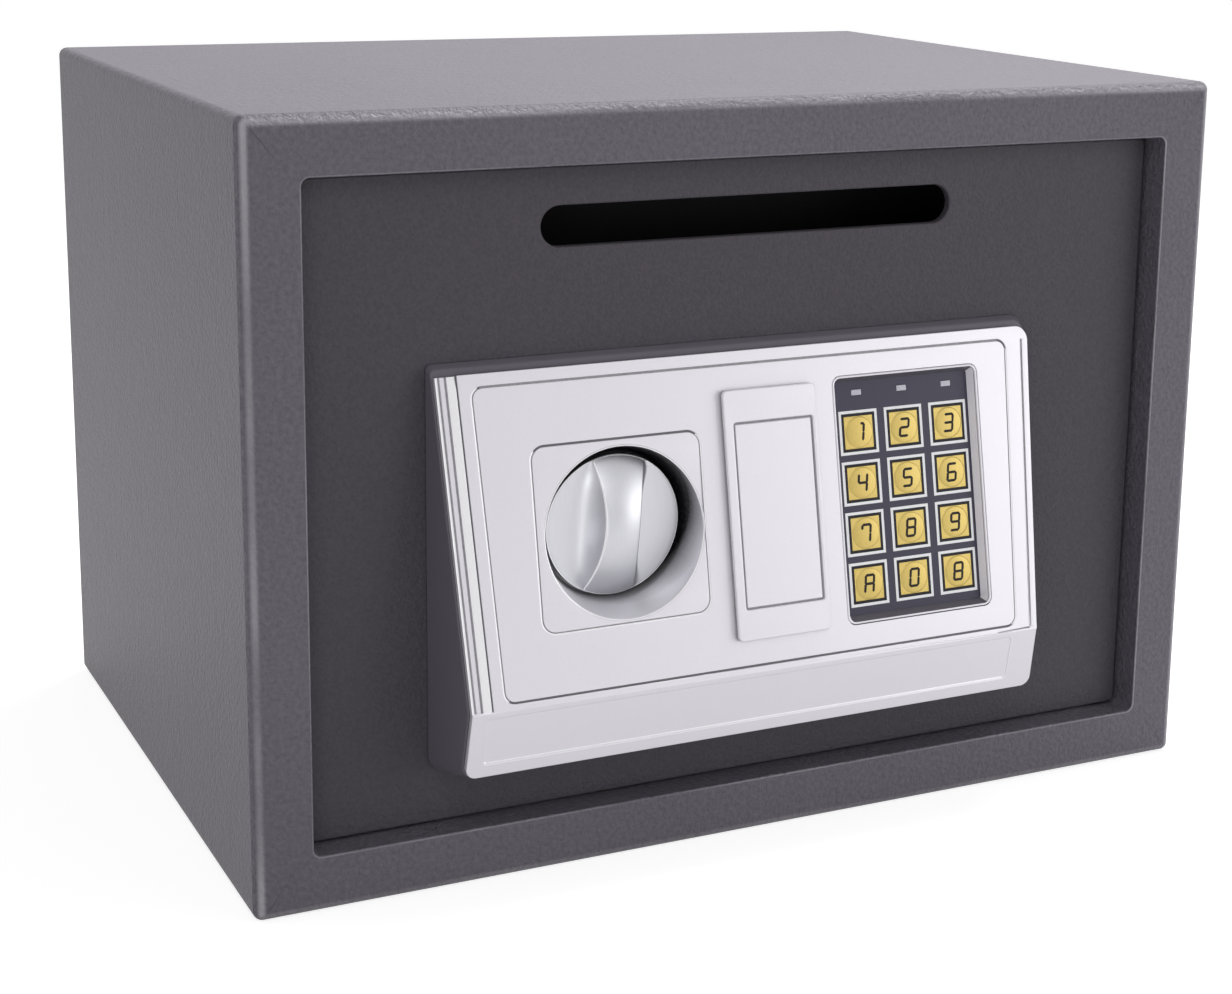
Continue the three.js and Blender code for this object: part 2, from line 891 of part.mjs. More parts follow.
function keySolid() {
	const plateBack = keypad.depth + keypad.plateThickness;
	const cap = block(
		centred(0, keyWidth),
		[keypad.depth - keypad.keyProud, plateBack + seatGap + keypad.keyFlangeThickness / 2],
		centred(0, keyHeight),
	);
	const flange = block(
		centred(0, keyWidth + 2 * keypad.keyFlange),
		[plateBack + seatGap, plateBack + seatGap + keypad.keyFlangeThickness],
		centred(0, keyHeight + 2 * keypad.keyFlange),
	);
	return cap.add(flange);
}

function lensSolid() {
	return block(
		centred(0, keypad.lensWidth),
		[keypad.depth - keypad.lensProud, keypad.depth + keypad.plateThickness],
		centred(0, keypad.lensHeight),
	);
}

function keypadBoard() {
	return block(
		centred(keypadX, boardWidth),
		[boardDepth, boardDepth + keypad.boardThickness],
		downSlope(keypadDown, boardHeight),
	);
}

const coverTabPlaces = [-1, 1].map((hand) => (
	keyCoverDown + hand * ((0.5 - keyCover.tabShare) * keyCoverHeight)
));

function keyCoverPlate() {
	const plate = slab(
		roundRect(
			centred(keyCoverX, keyCoverWidth),
			downSlope(keyCoverDown, keyCoverHeight),
			keyCover.radius,
		),
		[-seatGap - keyCover.thickness, -seatGap],
	);
	const tabs = coverTabPlaces.map((slopeDown) => block(
		centred(keyCoverX, keyCover.tabWidth),
		[-seatGap - keyCover.thickness / 2, keyCover.tabDepth],
		downSlope(slopeDown, keyCover.tabThickness),
	));
	return add([plate, ...tabs]);
}

// Key lock under the cover plate

const lockPlace = [keyCoverX, 0, lockHeight];
const lockBack = door.thickness + keyLock.bodyBehind;

function lockCylinder() {
	const body = turned([
		[0, lockFront],
		[keyLock.headRadius, lockFront],
		[keyLock.headRadius, -seatGap],
		[keyLock.bodyRadius, -seatGap],
		[keyLock.bodyRadius, lockBack],
		[0, lockBack],
	], 'y', lockPlace);
	const bore = rod(
		keyLock.plugRadius + seatGap,
		[lockFront - overrun, lockBack + overrun],
		'y',
		lockPlace,
	);
	return body.subtract(bore);
}

function lockPlug() {
	const front = lockFront - keyLock.plugProud;
	const tailFront = lockBack + seatGap;
	const plug = rod(keyLock.plugRadius, [front, tailFront + keyLock.tailThickness / 2], 'y', lockPlace);
	const keyway = block(
		centred(keyCoverX, keyLock.keywayWidth),
		[front - overrun, front + keyLock.keywayDepth],
		centred(lockHeight, keyLock.keywayHeight),
	);
	const tail = block(
		centred(keyCoverX, keyLock.tailWidth),
		[tailFront, tailFront + keyLock.tailThickness],
		[lockHeight - keyLock.tailLength, lockHeight + keyLock.plugRadius],
	);
	return plug.subtract(keyway).add(tail);
}

function hexNut(radius, hole, [from, to], axis, place) {
	const nut = rod(radius, [from, to], axis, place, 6);
	return nut.subtract(rod(hole, [from - overrun, to + overrun], axis, place));
}

function lockNut() {
	return hexNut(
		keyLock.nutRadius,
		keyLock.bodyRadius + seatGap,
		[behindDoor, behindDoor + keyLock.nutThickness],
		'y',
		lockPlace,
	);
}

// Knob, its shaft and the crank that throws the bolts

const shaftPlace = [bowlX, 0, knobHeight];

function knobSolid() {
	const edge = knob.radius - knob.chamfer;
	const disc = turned([
		[0, knobFront],
		[edge, knobFront],
		[knob.radius, knobFront + knob.chamfer],
		[knob.radius, knobBack - knob.chamfer],
		[edge, knobBack],
		[0, knobBack],
	], 'y', shaftPlace, wideSteps);
	const socket = rod(
		knob.shaftRadius + seatGap,
		[knobFront + knob.chamfer, knobBack + overrun],
		'y',
		shaftPlace,
	);
	return disc.add(knobGrip()).subtract(socket);
}

// The grip is a waisted bridge, arched from rim to rim
function knobGrip() {
	const rings = [];
	const stations = 12;
	const reach = knob.radius - knob.chamfer;
	for (let station = 0; station <= stations; station++) {
		const along = 2 * station / stations - 1;
		const halfWidth = (knob.gripWaist + (knob.gripEnd - knob.gripWaist) * along * along) / 2;
		const height = knob.gripHeight * Math.sqrt(1 - along * along * (1 - arcEndShare));
		const crest = knobFront - height;
		const shoulder = Math.min(knob.gripShoulder, height / 2);
		const z = knobHeight + along * reach * gripReachShare;
		const base = knobFront + knob.chamfer / 2;
		rings.push([
			new THREE.Vector3(bowlX - halfWidth, base, z),
			new THREE.Vector3(bowlX - halfWidth, crest + shoulder, z),
			new THREE.Vector3(bowlX - halfWidth + shoulder, crest, z),
			new THREE.Vector3(bowlX + halfWidth - shoulder, crest, z),
			new THREE.Vector3(bowlX + halfWidth, crest + shoulder, z),
			new THREE.Vector3(bowlX + halfWidth, base, z),
		].reverse());
	}
	return loft(rings);
}

const arcEndShare = 0.04;
const gripReachShare = 0.92;

function knobShaft() {
	const front = knobFront + knob.chamfer + seatGap;
	return rod(knob.shaftRadius, [front, crankBack], 'y', shaftPlace);
}

function shaftBush() {
	const bore = knob.shaftRadius + seatGap;
	const flangeRadius = bushRadius + knob.bushFlange;
	const flangeBack = behindDoor + knob.bushFlangeThickness;
	return turned([
		[bore, 0],
		[bushRadius, 0],
		[bushRadius, behindDoor],
		[flangeRadius, behindDoor],
		[flangeRadius, flangeBack],
		[bushRadius, flangeBack],
		[bushRadius, bushEnd],
		[bore, bushEnd],
		[bore, 0],
	], 'y', shaftPlace);
}

function shaftCrank() {
	const disc = rod(crank.discRadius, [crankFront, crankBack], 'y', shaftPlace);
	const bore = rod(knob.shaftRadius + seatGap, [crankFront - overrun, crankBack + overrun], 'y', shaftPlace);
	const pin = rod(
		crank.pinRadius,
		[crankFront + crank.thickness / 2, carriageBack + crank.pinPast],
		'y',
		[bowlX + crankSwing, 0, knobHeight + crankSwing],
	);
	return disc.subtract(bore).add(pin);
}

// Bolt carriage: a bent plate, two bolts and their nuts

function boltPlate() {
	const low = boltLow - carriage.edgeMargin;
	const high = boltHigh + carriage.edgeMargin;
	const tall = block([flangeLeft, tallRight], [carriageFront, carriageBack], [low, high]);
	const arm = block(
		[tallRight - overrun, armRight],
		[carriageFront, carriageBack],
		[knobHeight - carriage.armBelow, armHigh],
	);
	const flange = block(
		[flangeLeft, flangeRight],
		[carriageBack - carriage.flangeDepth, carriageBack],
		[low, high],
	);
	const fit = crank.pinRadius + crank.slotClearance;
	const through = [carriageFront - overrun, carriageBack + overrun];
	const pinSlot = block(
		centred(bowlX + crankSwing, 2 * fit),
		through,
		[knobHeight + crankSwing - fit, knobHeight + crankRadius + fit],
	);
	const studSlots = studHeights.map((height) => slab(
		stadium(
			studX + bolt.throw / 2,
			height,
			bolt.throw + 2 * (stud.neckRadius + seatGap),
			2 * (stud.neckRadius + seatGap),
		),
		through,
	));
	const boltHoles = [boltLow, boltHigh].map((height) => rod(
		bolt.stubRadius + seatGap,
		[flangeLeft - overrun, flangeRight + overrun],
		'x',
		[0, boltY, height],
	));
	return cut(add([tall, arm, flange]), [pinSlot, ...studSlots, ...boltHoles]);
}

const studX = flangeRight + stud.fromFlange;
const studHeights = [boltLow + stud.fromBolt, boltHigh - stud.fromBolt];

function boltSolid(height) {
	const back = boltTip + bolt.length;
	const chamfer = bolt.radius / 5;
	return turned([
		[0, boltTip],
		[bolt.radius - chamfer, boltTip],
		[bolt.radius, boltTip + chamfer],
		[bolt.radius, back],
		[bolt.stubRadius, back],
		[bolt.stubRadius, back + bolt.stubLength],
		[0, back + bolt.stubLength],
	], 'x', [0, boltY, height]);
}

function boltNut(height) {
	return hexNut(
		bolt.nutRadius,
		bolt.stubRadius + seatGap,
		[flangeRight + seatGap, flangeRight + seatGap + bolt.nutThickness],
		'x',
		[0, boltY, height],
	);
}

function guideStud(height) {
	return turned([
		[0, behindDoor],
		[stud.collarRadius, behindDoor],
		[stud.collarRadius, carriageFront - seatGap],
		[stud.neckRadius, carriageFront - seatGap],
		[stud.neckRadius, carriageBack + seatGap],
		[stud.headRadius, carriageBack + seatGap],
		[stud.headRadius, carriageBack + seatGap + stud.headThickness],
		[0, carriageBack + seatGap + stud.headThickness],
	], 'y', [studX, 0, height]);
}

function boltGuide() {
	const left = coverLeft + cover.sheet + guide.fromCover;
	const span = [boltLow - guide.margin, boltHigh + guide.margin];
	const web = block([left, left + guide.sheet], [behindDoor, behindDoor + guide.depth], span);
	const foot = block([left, left + guide.foot], [behindDoor, behindDoor + guide.sheet], span);
	const holes = [boltLow, boltHigh].map((height) => rod(
		bolt.radius + seatGap,
		[left - overrun, left + guide.sheet + overrun],
		'x',
		[0, boltY, height],
	));
	return cut(web.add(foot), holes);
}

// Solenoid above the carriage's arm: its plunger blocks the arm once the bolts are thrown

const plungerX = armRight - solenoid.edgeInset;
const plungerY = (carriageFront + carriageBack) / 2;
const solenoidLift = solenoid.liftShare * (coverHigh - armHigh);
const solenoidHeight = solenoid.heightShare * (coverHigh - armHigh);
const solenoidLow = armHigh + solenoidLift;

function solenoidBody() {
	const body = block(
		centred(plungerX, solenoid.width),
		[behindDoor, plungerY + solenoid.reach],
		[solenoidLow, solenoidLow + solenoidHeight],
	);
	const bore = rod(
		solenoid.plungerRadius + seatGap,
		[solenoidLow - overrun, solenoidLow + solenoidHeight + overrun],
		'z',
		[plungerX, plungerY, 0],
	);
	return body.subtract(bore);
}

function solenoidPlunger() {
	const collarHigh = solenoidLow - solenoid.collarShare * solenoidLift;
	const collarLow = collarHigh - solenoid.collarThickness;
	return turned([
		[0, armHigh + seatGap],
		[solenoid.plungerRadius, armHigh + seatGap],
		[solenoid.plungerRadius, collarLow],
		[solenoid.collarRadius, collarLow],
		[solenoid.collarRadius, collarHigh],
		[solenoid.plungerRadius, collarHigh],
		[solenoid.plungerRadius, solenoidLow + solenoid.insideShare * solenoidHeight],
		[0, solenoidLow + solenoid.insideShare * solenoidHeight],
	], 'z', [plungerX, plungerY, 0]);
}

// Sheet cover over the mechanism, with the battery bay and the reset button

const bayWidth = battery.count * battery.pitch;
const bayHeight = battery.length + battery.nubLength + 2 * battery.boxWall;
const bayDepth = 2 * battery.radius + battery.boxWall;
const batteryX = coverRight - battery.fromCoverRight;
const batteryHeight = coverLow + battery.fromCoverLow;

const bayHigh = batteryHeight + bayHeight / 2 + battery.boxWall;
const resetX = coverRight - reset.fromCoverRight;
const resetHeight = bayHigh + reset.riseShare * (coverHigh - bayHigh);

function mechanismCover() {
	const outer = block([coverLeft, coverRight], [behindDoor, coverBack], [coverLow, coverHigh]);
	const inner = block(
		[coverLeft + cover.sheet, coverRight - cover.sheet],
		[behindDoor - overrun, coverInside],
		[coverLow + cover.sheet, coverHigh - cover.sheet],
	);
	const flangeBack = behindDoor + cover.sheet;
	const flanges = [
		[coverLow - cover.flange, coverLow + cover.sheet],
		[coverHigh - cover.sheet, coverHigh + cover.flange],
	].map((span) => block([coverLeft, coverRight], [behindDoor, flangeBack], span));
	const screwHoles = screwPlaces.map(([x, z]) => rod(
		cover.screwRadius + seatGap,
		[behindDoor - overrun, flangeBack + overrun],
		'y',
		[x, 0, z],
	));
	const boltHoles = [boltLow, boltHigh].map((height) => rod(
		bolt.radius + cover.boltClearance,
		[coverLeft - overrun, coverLeft + cover.sheet + overrun],
		'x',
		[0, boltY, height],
	));
	const bayWindow = block(
		centred(batteryX, bayWidth),
		[coverInside - overrun, coverBack + overrun],
		centred(batteryHeight, bayHeight),
	);
	const resetHole = rod(
		reset.radius + seatGap,
		[coverInside - overrun, coverBack + overrun],
		'y',
		[resetX, 0, resetHeight],
	);
	const pressed = add([outer.subtract(inner), ...flanges]);
	return cut(pressed, [...screwHoles, ...boltHoles, bayWindow, resetHole]);
}

function coverScrew([x, z]) {
	const headFront = behindDoor + cover.sheet + seatGap;
	const tip = door.thickness - cover.screwDepth + seatGap;
	return turned([
		[0, tip],
		[cover.screwRadius, tip],
		[cover.screwRadius, headFront],
		[cover.screwHeadRadius, headFront],
		[cover.screwHeadRadius, headFront + cover.screwHeadThickness / 2],
		[cover.screwHeadRadius / 2, headFront + cover.screwHeadThickness],
		[0, headFront + cover.screwHeadThickness],
	], 'y', [x, 0, z], roundSteps / 2);
}

function batteryBox() {
	const back = coverInside - seatGap;
	const front = back - bayDepth - battery.boxWall;
	const outer = block(
		centred(batteryX, bayWidth + 2 * battery.boxWall),
		[front, back],
		centred(batteryHeight, bayHeight + 2 * battery.boxWall),
	);
	const inner = block(
		centred(batteryX, bayWidth),
		[front + battery.boxWall, back + overrun],
		centred(batteryHeight, bayHeight),
	);
	return outer.subtract(inner);
}

function batteryCell(number) {
	const end = battery.length / 2;
	const turn = number % 2 === 0 ? 1 : -1;
	const x = batteryX + (number - (battery.count - 1) / 2) * battery.pitch;
	const y = coverInside - seatGap - bayDepth + battery.radius + seatGap;
	const body = rod(battery.radius, [-end, end], 'z', [x, y, batteryHeight]);
	const nubSpan = [turn * (end - overrun), turn * (end + battery.nubLength)].sort((a, b) => a - b);
	return body.add(rod(battery.nubRadius, nubSpan, 'z', [x, y, batteryHeight], roundSteps / 2));
}

function batteryLid() {
	const front = coverBack + seatGap;
	const plate = block(
		centred(batteryX, bayWidth + 2 * battery.lidMargin),
		[front, front + battery.lidThickness],
		centred(batteryHeight, bayHeight + 2 * battery.lidMargin),
	);
	const reach = bayHeight / 2 - seatGap - battery.tabThickness / 2;
	const tabs = [-1, 1].map((hand) => block(
		centred(batteryX, battery.tabWidth),
		[front - battery.tabDepth, front + battery.lidThickness / 2],
		centred(batteryHeight + hand * reach, battery.tabThickness),
	));
	return add([plate, ...tabs]);
}

const resetBack = coverBack + reset.proud;
const resetFront = resetBack - reset.length;

function resetButton() {
	return rod(reset.radius, [resetFront, resetBack], 'y', [resetX, 0, resetHeight]);
}

function resetSwitch() {
	const floor = resetFront - reset.travel - seatGap;
	const body = block(
		centred(resetX, reset.switchWidth),
		[floor - reset.switchBase, coverInside - seatGap],
		centred(resetHeight, reset.switchWidth),
	);
	return body.subtract(rod(reset.radius + seatGap, [floor, coverBack], 'y', [resetX, 0, resetHeight]));
}

// Assembly

const group = new THREE.Group();
group.add(piece('cabinet_shell', cabinetShell(), finishes.cabinetPaint));
group.add(piece('back_panel', backPanel(), finishes.cabinetPaint));

const doorGroup = new THREE.Group();
doorGroup.position.set(0, cabinetFront + door.recess, 0);
group.add(doorGroup);

doorGroup.add(
	piece('door_plate', doorPlate(), finishes.doorPaint),
	piece('slot_baffle', slotBaffle(), finishes.doorPaint),
	piece('hinge_block_top', hingeBlock(doorHigh, -1), finishes.doorPaint),
	piece('hinge_block_bottom', hingeBlock(doorLow, 1), finishes.doorPaint),
	piece('hinge_pin_top', hingePin(doorHigh, -1), finishes.zinc),
	piece('hinge_pin_bottom', hingePin(doorLow, 1), finishes.zinc),
	piece('panel_housing', panelHousing(), finishes.greyPlastic),
	piece('panel_face', panelFace(), finishes.silver),
	piece('lock_cylinder', lockCylinder(), finishes.zinc),
	piece('lock_plug', lockPlug(), finishes.brass),
	piece('lock_nut', lockNut(), finishes.zinc),
	piece('knob', knobSolid(), finishes.satinChrome),
	piece('knob_shaft', knobShaft(), finishes.zinc),
	piece('shaft_bush', shaftBush(), finishes.brass),
	piece('shaft_crank', shaftCrank(), finishes.zinc),
	piece('bolt_plate', boltPlate(), finishes.zinc),
	piece('bolt_upper', boltSolid(boltHigh), finishes.satinChrome),
	piece('bolt_lower', boltSolid(boltLow), finishes.satinChrome),
	piece('bolt_nut_upper', boltNut(boltHigh), finishes.zinc),
	piece('bolt_nut_lower', boltNut(boltLow), finishes.zinc),
	piece('guide_stud_upper', guideStud(studHeights[1]), finishes.zinc),
	piece('guide_stud_lower', guideStud(studHeights[0]), finishes.zinc),
	piece('bolt_guide', boltGuide(), finishes.zinc),
	piece('solenoid_body', solenoidBody(), finishes.blackPlastic),
	piece('solenoid_plunger', solenoidPlunger(), finishes.zinc),
	piece('mechanism_cover', mechanismCover(), finishes.doorPaint),
	piece('battery_box', batteryBox(), finishes.blackPlastic),
	piece('battery_lid', batteryLid(), finishes.blackPlastic),
	piece('reset_button', resetButton(), finishes.red),
	piece('reset_switch', resetSwitch(), finishes.blackPlastic),
);

for (let number = 0; number < battery.count; number++) {
	doorGroup.add(piece(`battery_${number + 1}`, batteryCell(number), finishes.cell));
}

screwPlaces.forEach((place, number) => {
	doorGroup.add(piece(`cover_screw_${number + 1}`, coverScrew(place), finishes.zinc));
});

const faceGroup = new THREE.Group();
faceGroup.applyMatrix4(faceFrame);
doorGroup.add(faceGroup);

faceGroup.add(
	piece('keypad_plate', keypadPlate(), finishes.navy),
	piece('keypad_board', keypadBoard(), finishes.board),
	piece('key_cover', keyCoverPlate(), finishes.silver),
);

keys.forEach((label, number) => {
	const key = piece(`key_${label}`, keySolid(), finishes.gold);
	const [x, z] = keyPlace(number);
	key.position.set(x, 0, z);
	faceGroup.add(key);
});

['left', 'middle', 'right'].forEach((side, number) => {
	const lens = piece(`status_lens_${side}`, lensSolid(), finishes.lens);
	const [x, z] = lensPlace(number);
	lens.position.set(x, 0, z);
	faceGroup.add(lens);
});

export default group;
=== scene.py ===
import json
import math
import bpy
import bmesh
from mathutils import Matrix, Vector
from mathutils.geometry import tessellate_polygon


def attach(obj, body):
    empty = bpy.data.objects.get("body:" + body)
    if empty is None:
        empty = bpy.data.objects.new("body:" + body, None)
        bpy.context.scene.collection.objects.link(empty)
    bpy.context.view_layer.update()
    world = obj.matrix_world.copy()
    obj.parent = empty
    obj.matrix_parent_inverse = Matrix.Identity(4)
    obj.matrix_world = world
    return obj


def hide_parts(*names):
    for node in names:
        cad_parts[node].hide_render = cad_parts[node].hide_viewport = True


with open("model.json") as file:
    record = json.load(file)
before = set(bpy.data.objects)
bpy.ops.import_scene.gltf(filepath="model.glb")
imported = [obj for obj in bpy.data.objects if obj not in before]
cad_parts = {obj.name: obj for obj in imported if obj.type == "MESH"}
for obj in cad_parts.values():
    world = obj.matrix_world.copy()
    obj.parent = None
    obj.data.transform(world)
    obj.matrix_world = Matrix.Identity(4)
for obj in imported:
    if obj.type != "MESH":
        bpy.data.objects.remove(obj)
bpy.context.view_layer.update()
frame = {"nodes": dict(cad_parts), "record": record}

print("frame loaded:", len(frame["nodes"]), "nodes")

# Lengths below are in millimetres in the cabinet's own frame: x across, y into it, z up.
mm = 0.001
doorY = -116.0  # front of the door plate
bodyOf = {node: body for body, members in frame["record"]["behaviour"]["bodies"].items() for node in members}


def addNode(tree, kind, feeds=None, **settings):
    # Each feed is a value to set or a socket to link, by the input's name or number
    node = tree.nodes.new(kind)
    for key, value in settings.items():
        setattr(node, key, value)
    for label, value in (feeds or {}).items():
        if isinstance(value, bpy.types.NodeSocket):
            tree.links.new(value, node.inputs[label])
        else:
            node.inputs[label].default_value = value
    return node


def wire(tree, pairs):
    for source, target in pairs:
        tree.links.new(source, target)


def startGroup(name, inputs, outputs):
    # An input with no value of its own is a vector
    tree = bpy.data.node_groups.new(name, "ShaderNodeTree")
    for label, value in inputs.items():
        kind = "NodeSocketFloat" if isinstance(value, float) else "NodeSocketVector"
        socket = tree.interface.new_socket(name=label, in_out="INPUT", socket_type=kind)
        if value is not None:
            socket.default_value = value
    for label in outputs:
        tree.interface.new_socket(name=label, in_out="OUTPUT", socket_type="NodeSocketFloat")
    return tree, tree.nodes.new("NodeGroupInput").outputs, tree.nodes.new("NodeGroupOutput").inputs


def mathNode(tree, operation, first, second=0.0, clamp=False):
    node = addNode(tree, "ShaderNodeMath", {0: first, 1: second}, operation=operation, use_clamp=clamp)
    return node.outputs[0]


def plus(tree, first, second, clamp=False):
    return mathNode(tree, "ADD", first, second, clamp)


def minus(tree, first, second, clamp=False):
    return mathNode(tree, "SUBTRACT", first, second, clamp)


def times(tree, first, second, clamp=False):
    return mathNode(tree, "MULTIPLY", first, second, clamp)


def portion(tree, first, second):
    return mathNode(tree, "DIVIDE", first, second, True)


def noise(tree, vector, scale, detail=2.0, rough=0.5):
    feeds = {"Vector": vector, "Scale": scale, "Detail": detail, "Roughness": rough}
    return addNode(tree, "ShaderNodeTexNoise", feeds).outputs["Fac"]


def partsOf(tree, vector):
    return addNode(tree, "ShaderNodeSeparateXYZ", {0: vector}).outputs


def normalParts(tree):
    return partsOf(tree, addNode(tree, "ShaderNodeNewGeometry").outputs["Normal"])


def buildGrain():
    # Two sizes of bump, as powder paint and moulded skins have, and a slow drift in tone
    tree, given, result = startGroup("fineGrain", {"Vector": None, "Scale": 900.0, "Coarse Share": 0.5},
                                     ["Height", "Tone"])
    fine = noise(tree, given["Vector"], given["Scale"], 3.0, 0.6)
    coarse = noise(tree, given["Vector"], times(tree, given["Scale"], 0.3))
    slow = noise(tree, given["Vector"], 9.0, 3.0, 0.55)
    height = plus(tree, fine, times(tree, coarse, given["Coarse Share"]))
    tone = plus(tree, times(tree, fine, 0.8), times(tree, slow, 0.2))
    wire(tree, [(height, result["Height"]), (tone, result["Tone"])])
    return tree


def buildEdgeWear():
    # Bright where an outer edge has rubbed, from the rounded normal against the true one
    tree, given, result = startGroup(
        "edgeWear", {"Vector": None, "Radius": 0.0006, "Amount": 0.5, "Breakup": 160.0}, ["Mask"])
    rounded = addNode(tree, "ShaderNodeBevel", {"Radius": given["Radius"]}, samples=4)
    true = addNode(tree, "ShaderNodeNewGeometry")
    dot = addNode(tree, "ShaderNodeVectorMath", {0: rounded.outputs[0], 1: true.outputs["Normal"]},
                  operation="DOT_PRODUCT")
    strong = times(tree, minus(tree, 1.0, dot.outputs["Value"], True), 6.0, True)
    broken = noise(tree, given["Vector"], given["Breakup"], 3.0, 0.6)
    patchy = times(tree, minus(tree, broken, 0.32, True), 3.0, True)
    worn = times(tree, strong, patchy)
    wire(tree, [(times(tree, worn, given["Amount"], True), result["Mask"])])
    return tree


def buildBrushed():
    # Long fine lines along one axis, for rolled, brushed and turned metal
    tree, given, result = startGroup("brushedLines", {"Vector": None, "Stretch": (60.0, 1400.0, 1400.0)},
                                     ["Height", "Tone"])
    stretched = addNode(tree, "ShaderNodeVectorMath", {0: given["Vector"], 1: given["Stretch"]},
                        operation="MULTIPLY")
    lines = noise(tree, stretched.outputs[0], 1.0, 4.0, 0.65)
    cloud = noise(tree, given["Vector"], 35.0, 3.0)
    tone = plus(tree, times(tree, lines, 0.6), times(tree, cloud, 0.4))
    wire(tree, [(lines, result["Height"]), (tone, result["Tone"])])
    return tree


def buildDust():
    # A thin settled film on what faces up, thicker in patches
    tree, given, result = startGroup("settledDust", {"Vector": None, "Amount": 0.2}, ["Mask"])
    upward = times(tree, minus(tree, normalParts(tree)["Z"], 0.55, True), 2.2, True)
    film = times(tree, upward, noise(tree, given["Vector"], 45.0, 4.0, 0.6))
    wire(tree, [(times(tree, film, given["Amount"], True), result["Mask"])])
    return tree


# How far a fold has turned to the front where its painted highlight and its painted shade start, rise over, end
# and fall over
paintedFoldZones = dict(light=(0.55, 0.25, 0.992, 0.07), shade=(0.03, 0.07, 0.34, 0.12))


def buildFoldLight():
    # A painted highlight on the front half of a fold towards the front, and painted shade where it leaves the
    # side
    tree, given, result = startGroup("foldLight", {"Vector": None, "Amount": 0.5}, ["Light", "Shade"])
    parts = normalParts(tree)
    front = times(tree, parts["Y"], -1.0)

    def between(start, rise, end, fall):
        up, down = portion(tree, minus(tree, front, start), rise), portion(tree, minus(tree, end, front), fall)
        return times(tree, up, down)
    slow = noise(tree, given["Vector"], 14.0)
    patchy = times(tree, minus(tree, slow, 0.18, True), 2.4, True)
    # the painted highlight is strongest on the left fold, weakest on what turns down
    leftward = times(tree, times(tree, parts["X"], -1.0, True), 0.9)
    downward = times(tree, times(tree, parts["Z"], -1.0, True), 0.3)
    weight = minus(tree, plus(tree, leftward, 0.5), downward, True)
    light = times(tree, between(*paintedFoldZones["light"]), times(tree, patchy, weight))
    wire(tree, [(times(tree, light, given["Amount"], True), result["Light"]),
                (times(tree, between(*paintedFoldZones["shade"]), given["Amount"], True), result["Shade"])])
    return tree


groups = {"grain": buildGrain(), "wear": buildEdgeWear(), "brushed": buildBrushed(), "dust": buildDust(),
          "fold": buildFoldLight()}
print("shader groups built")


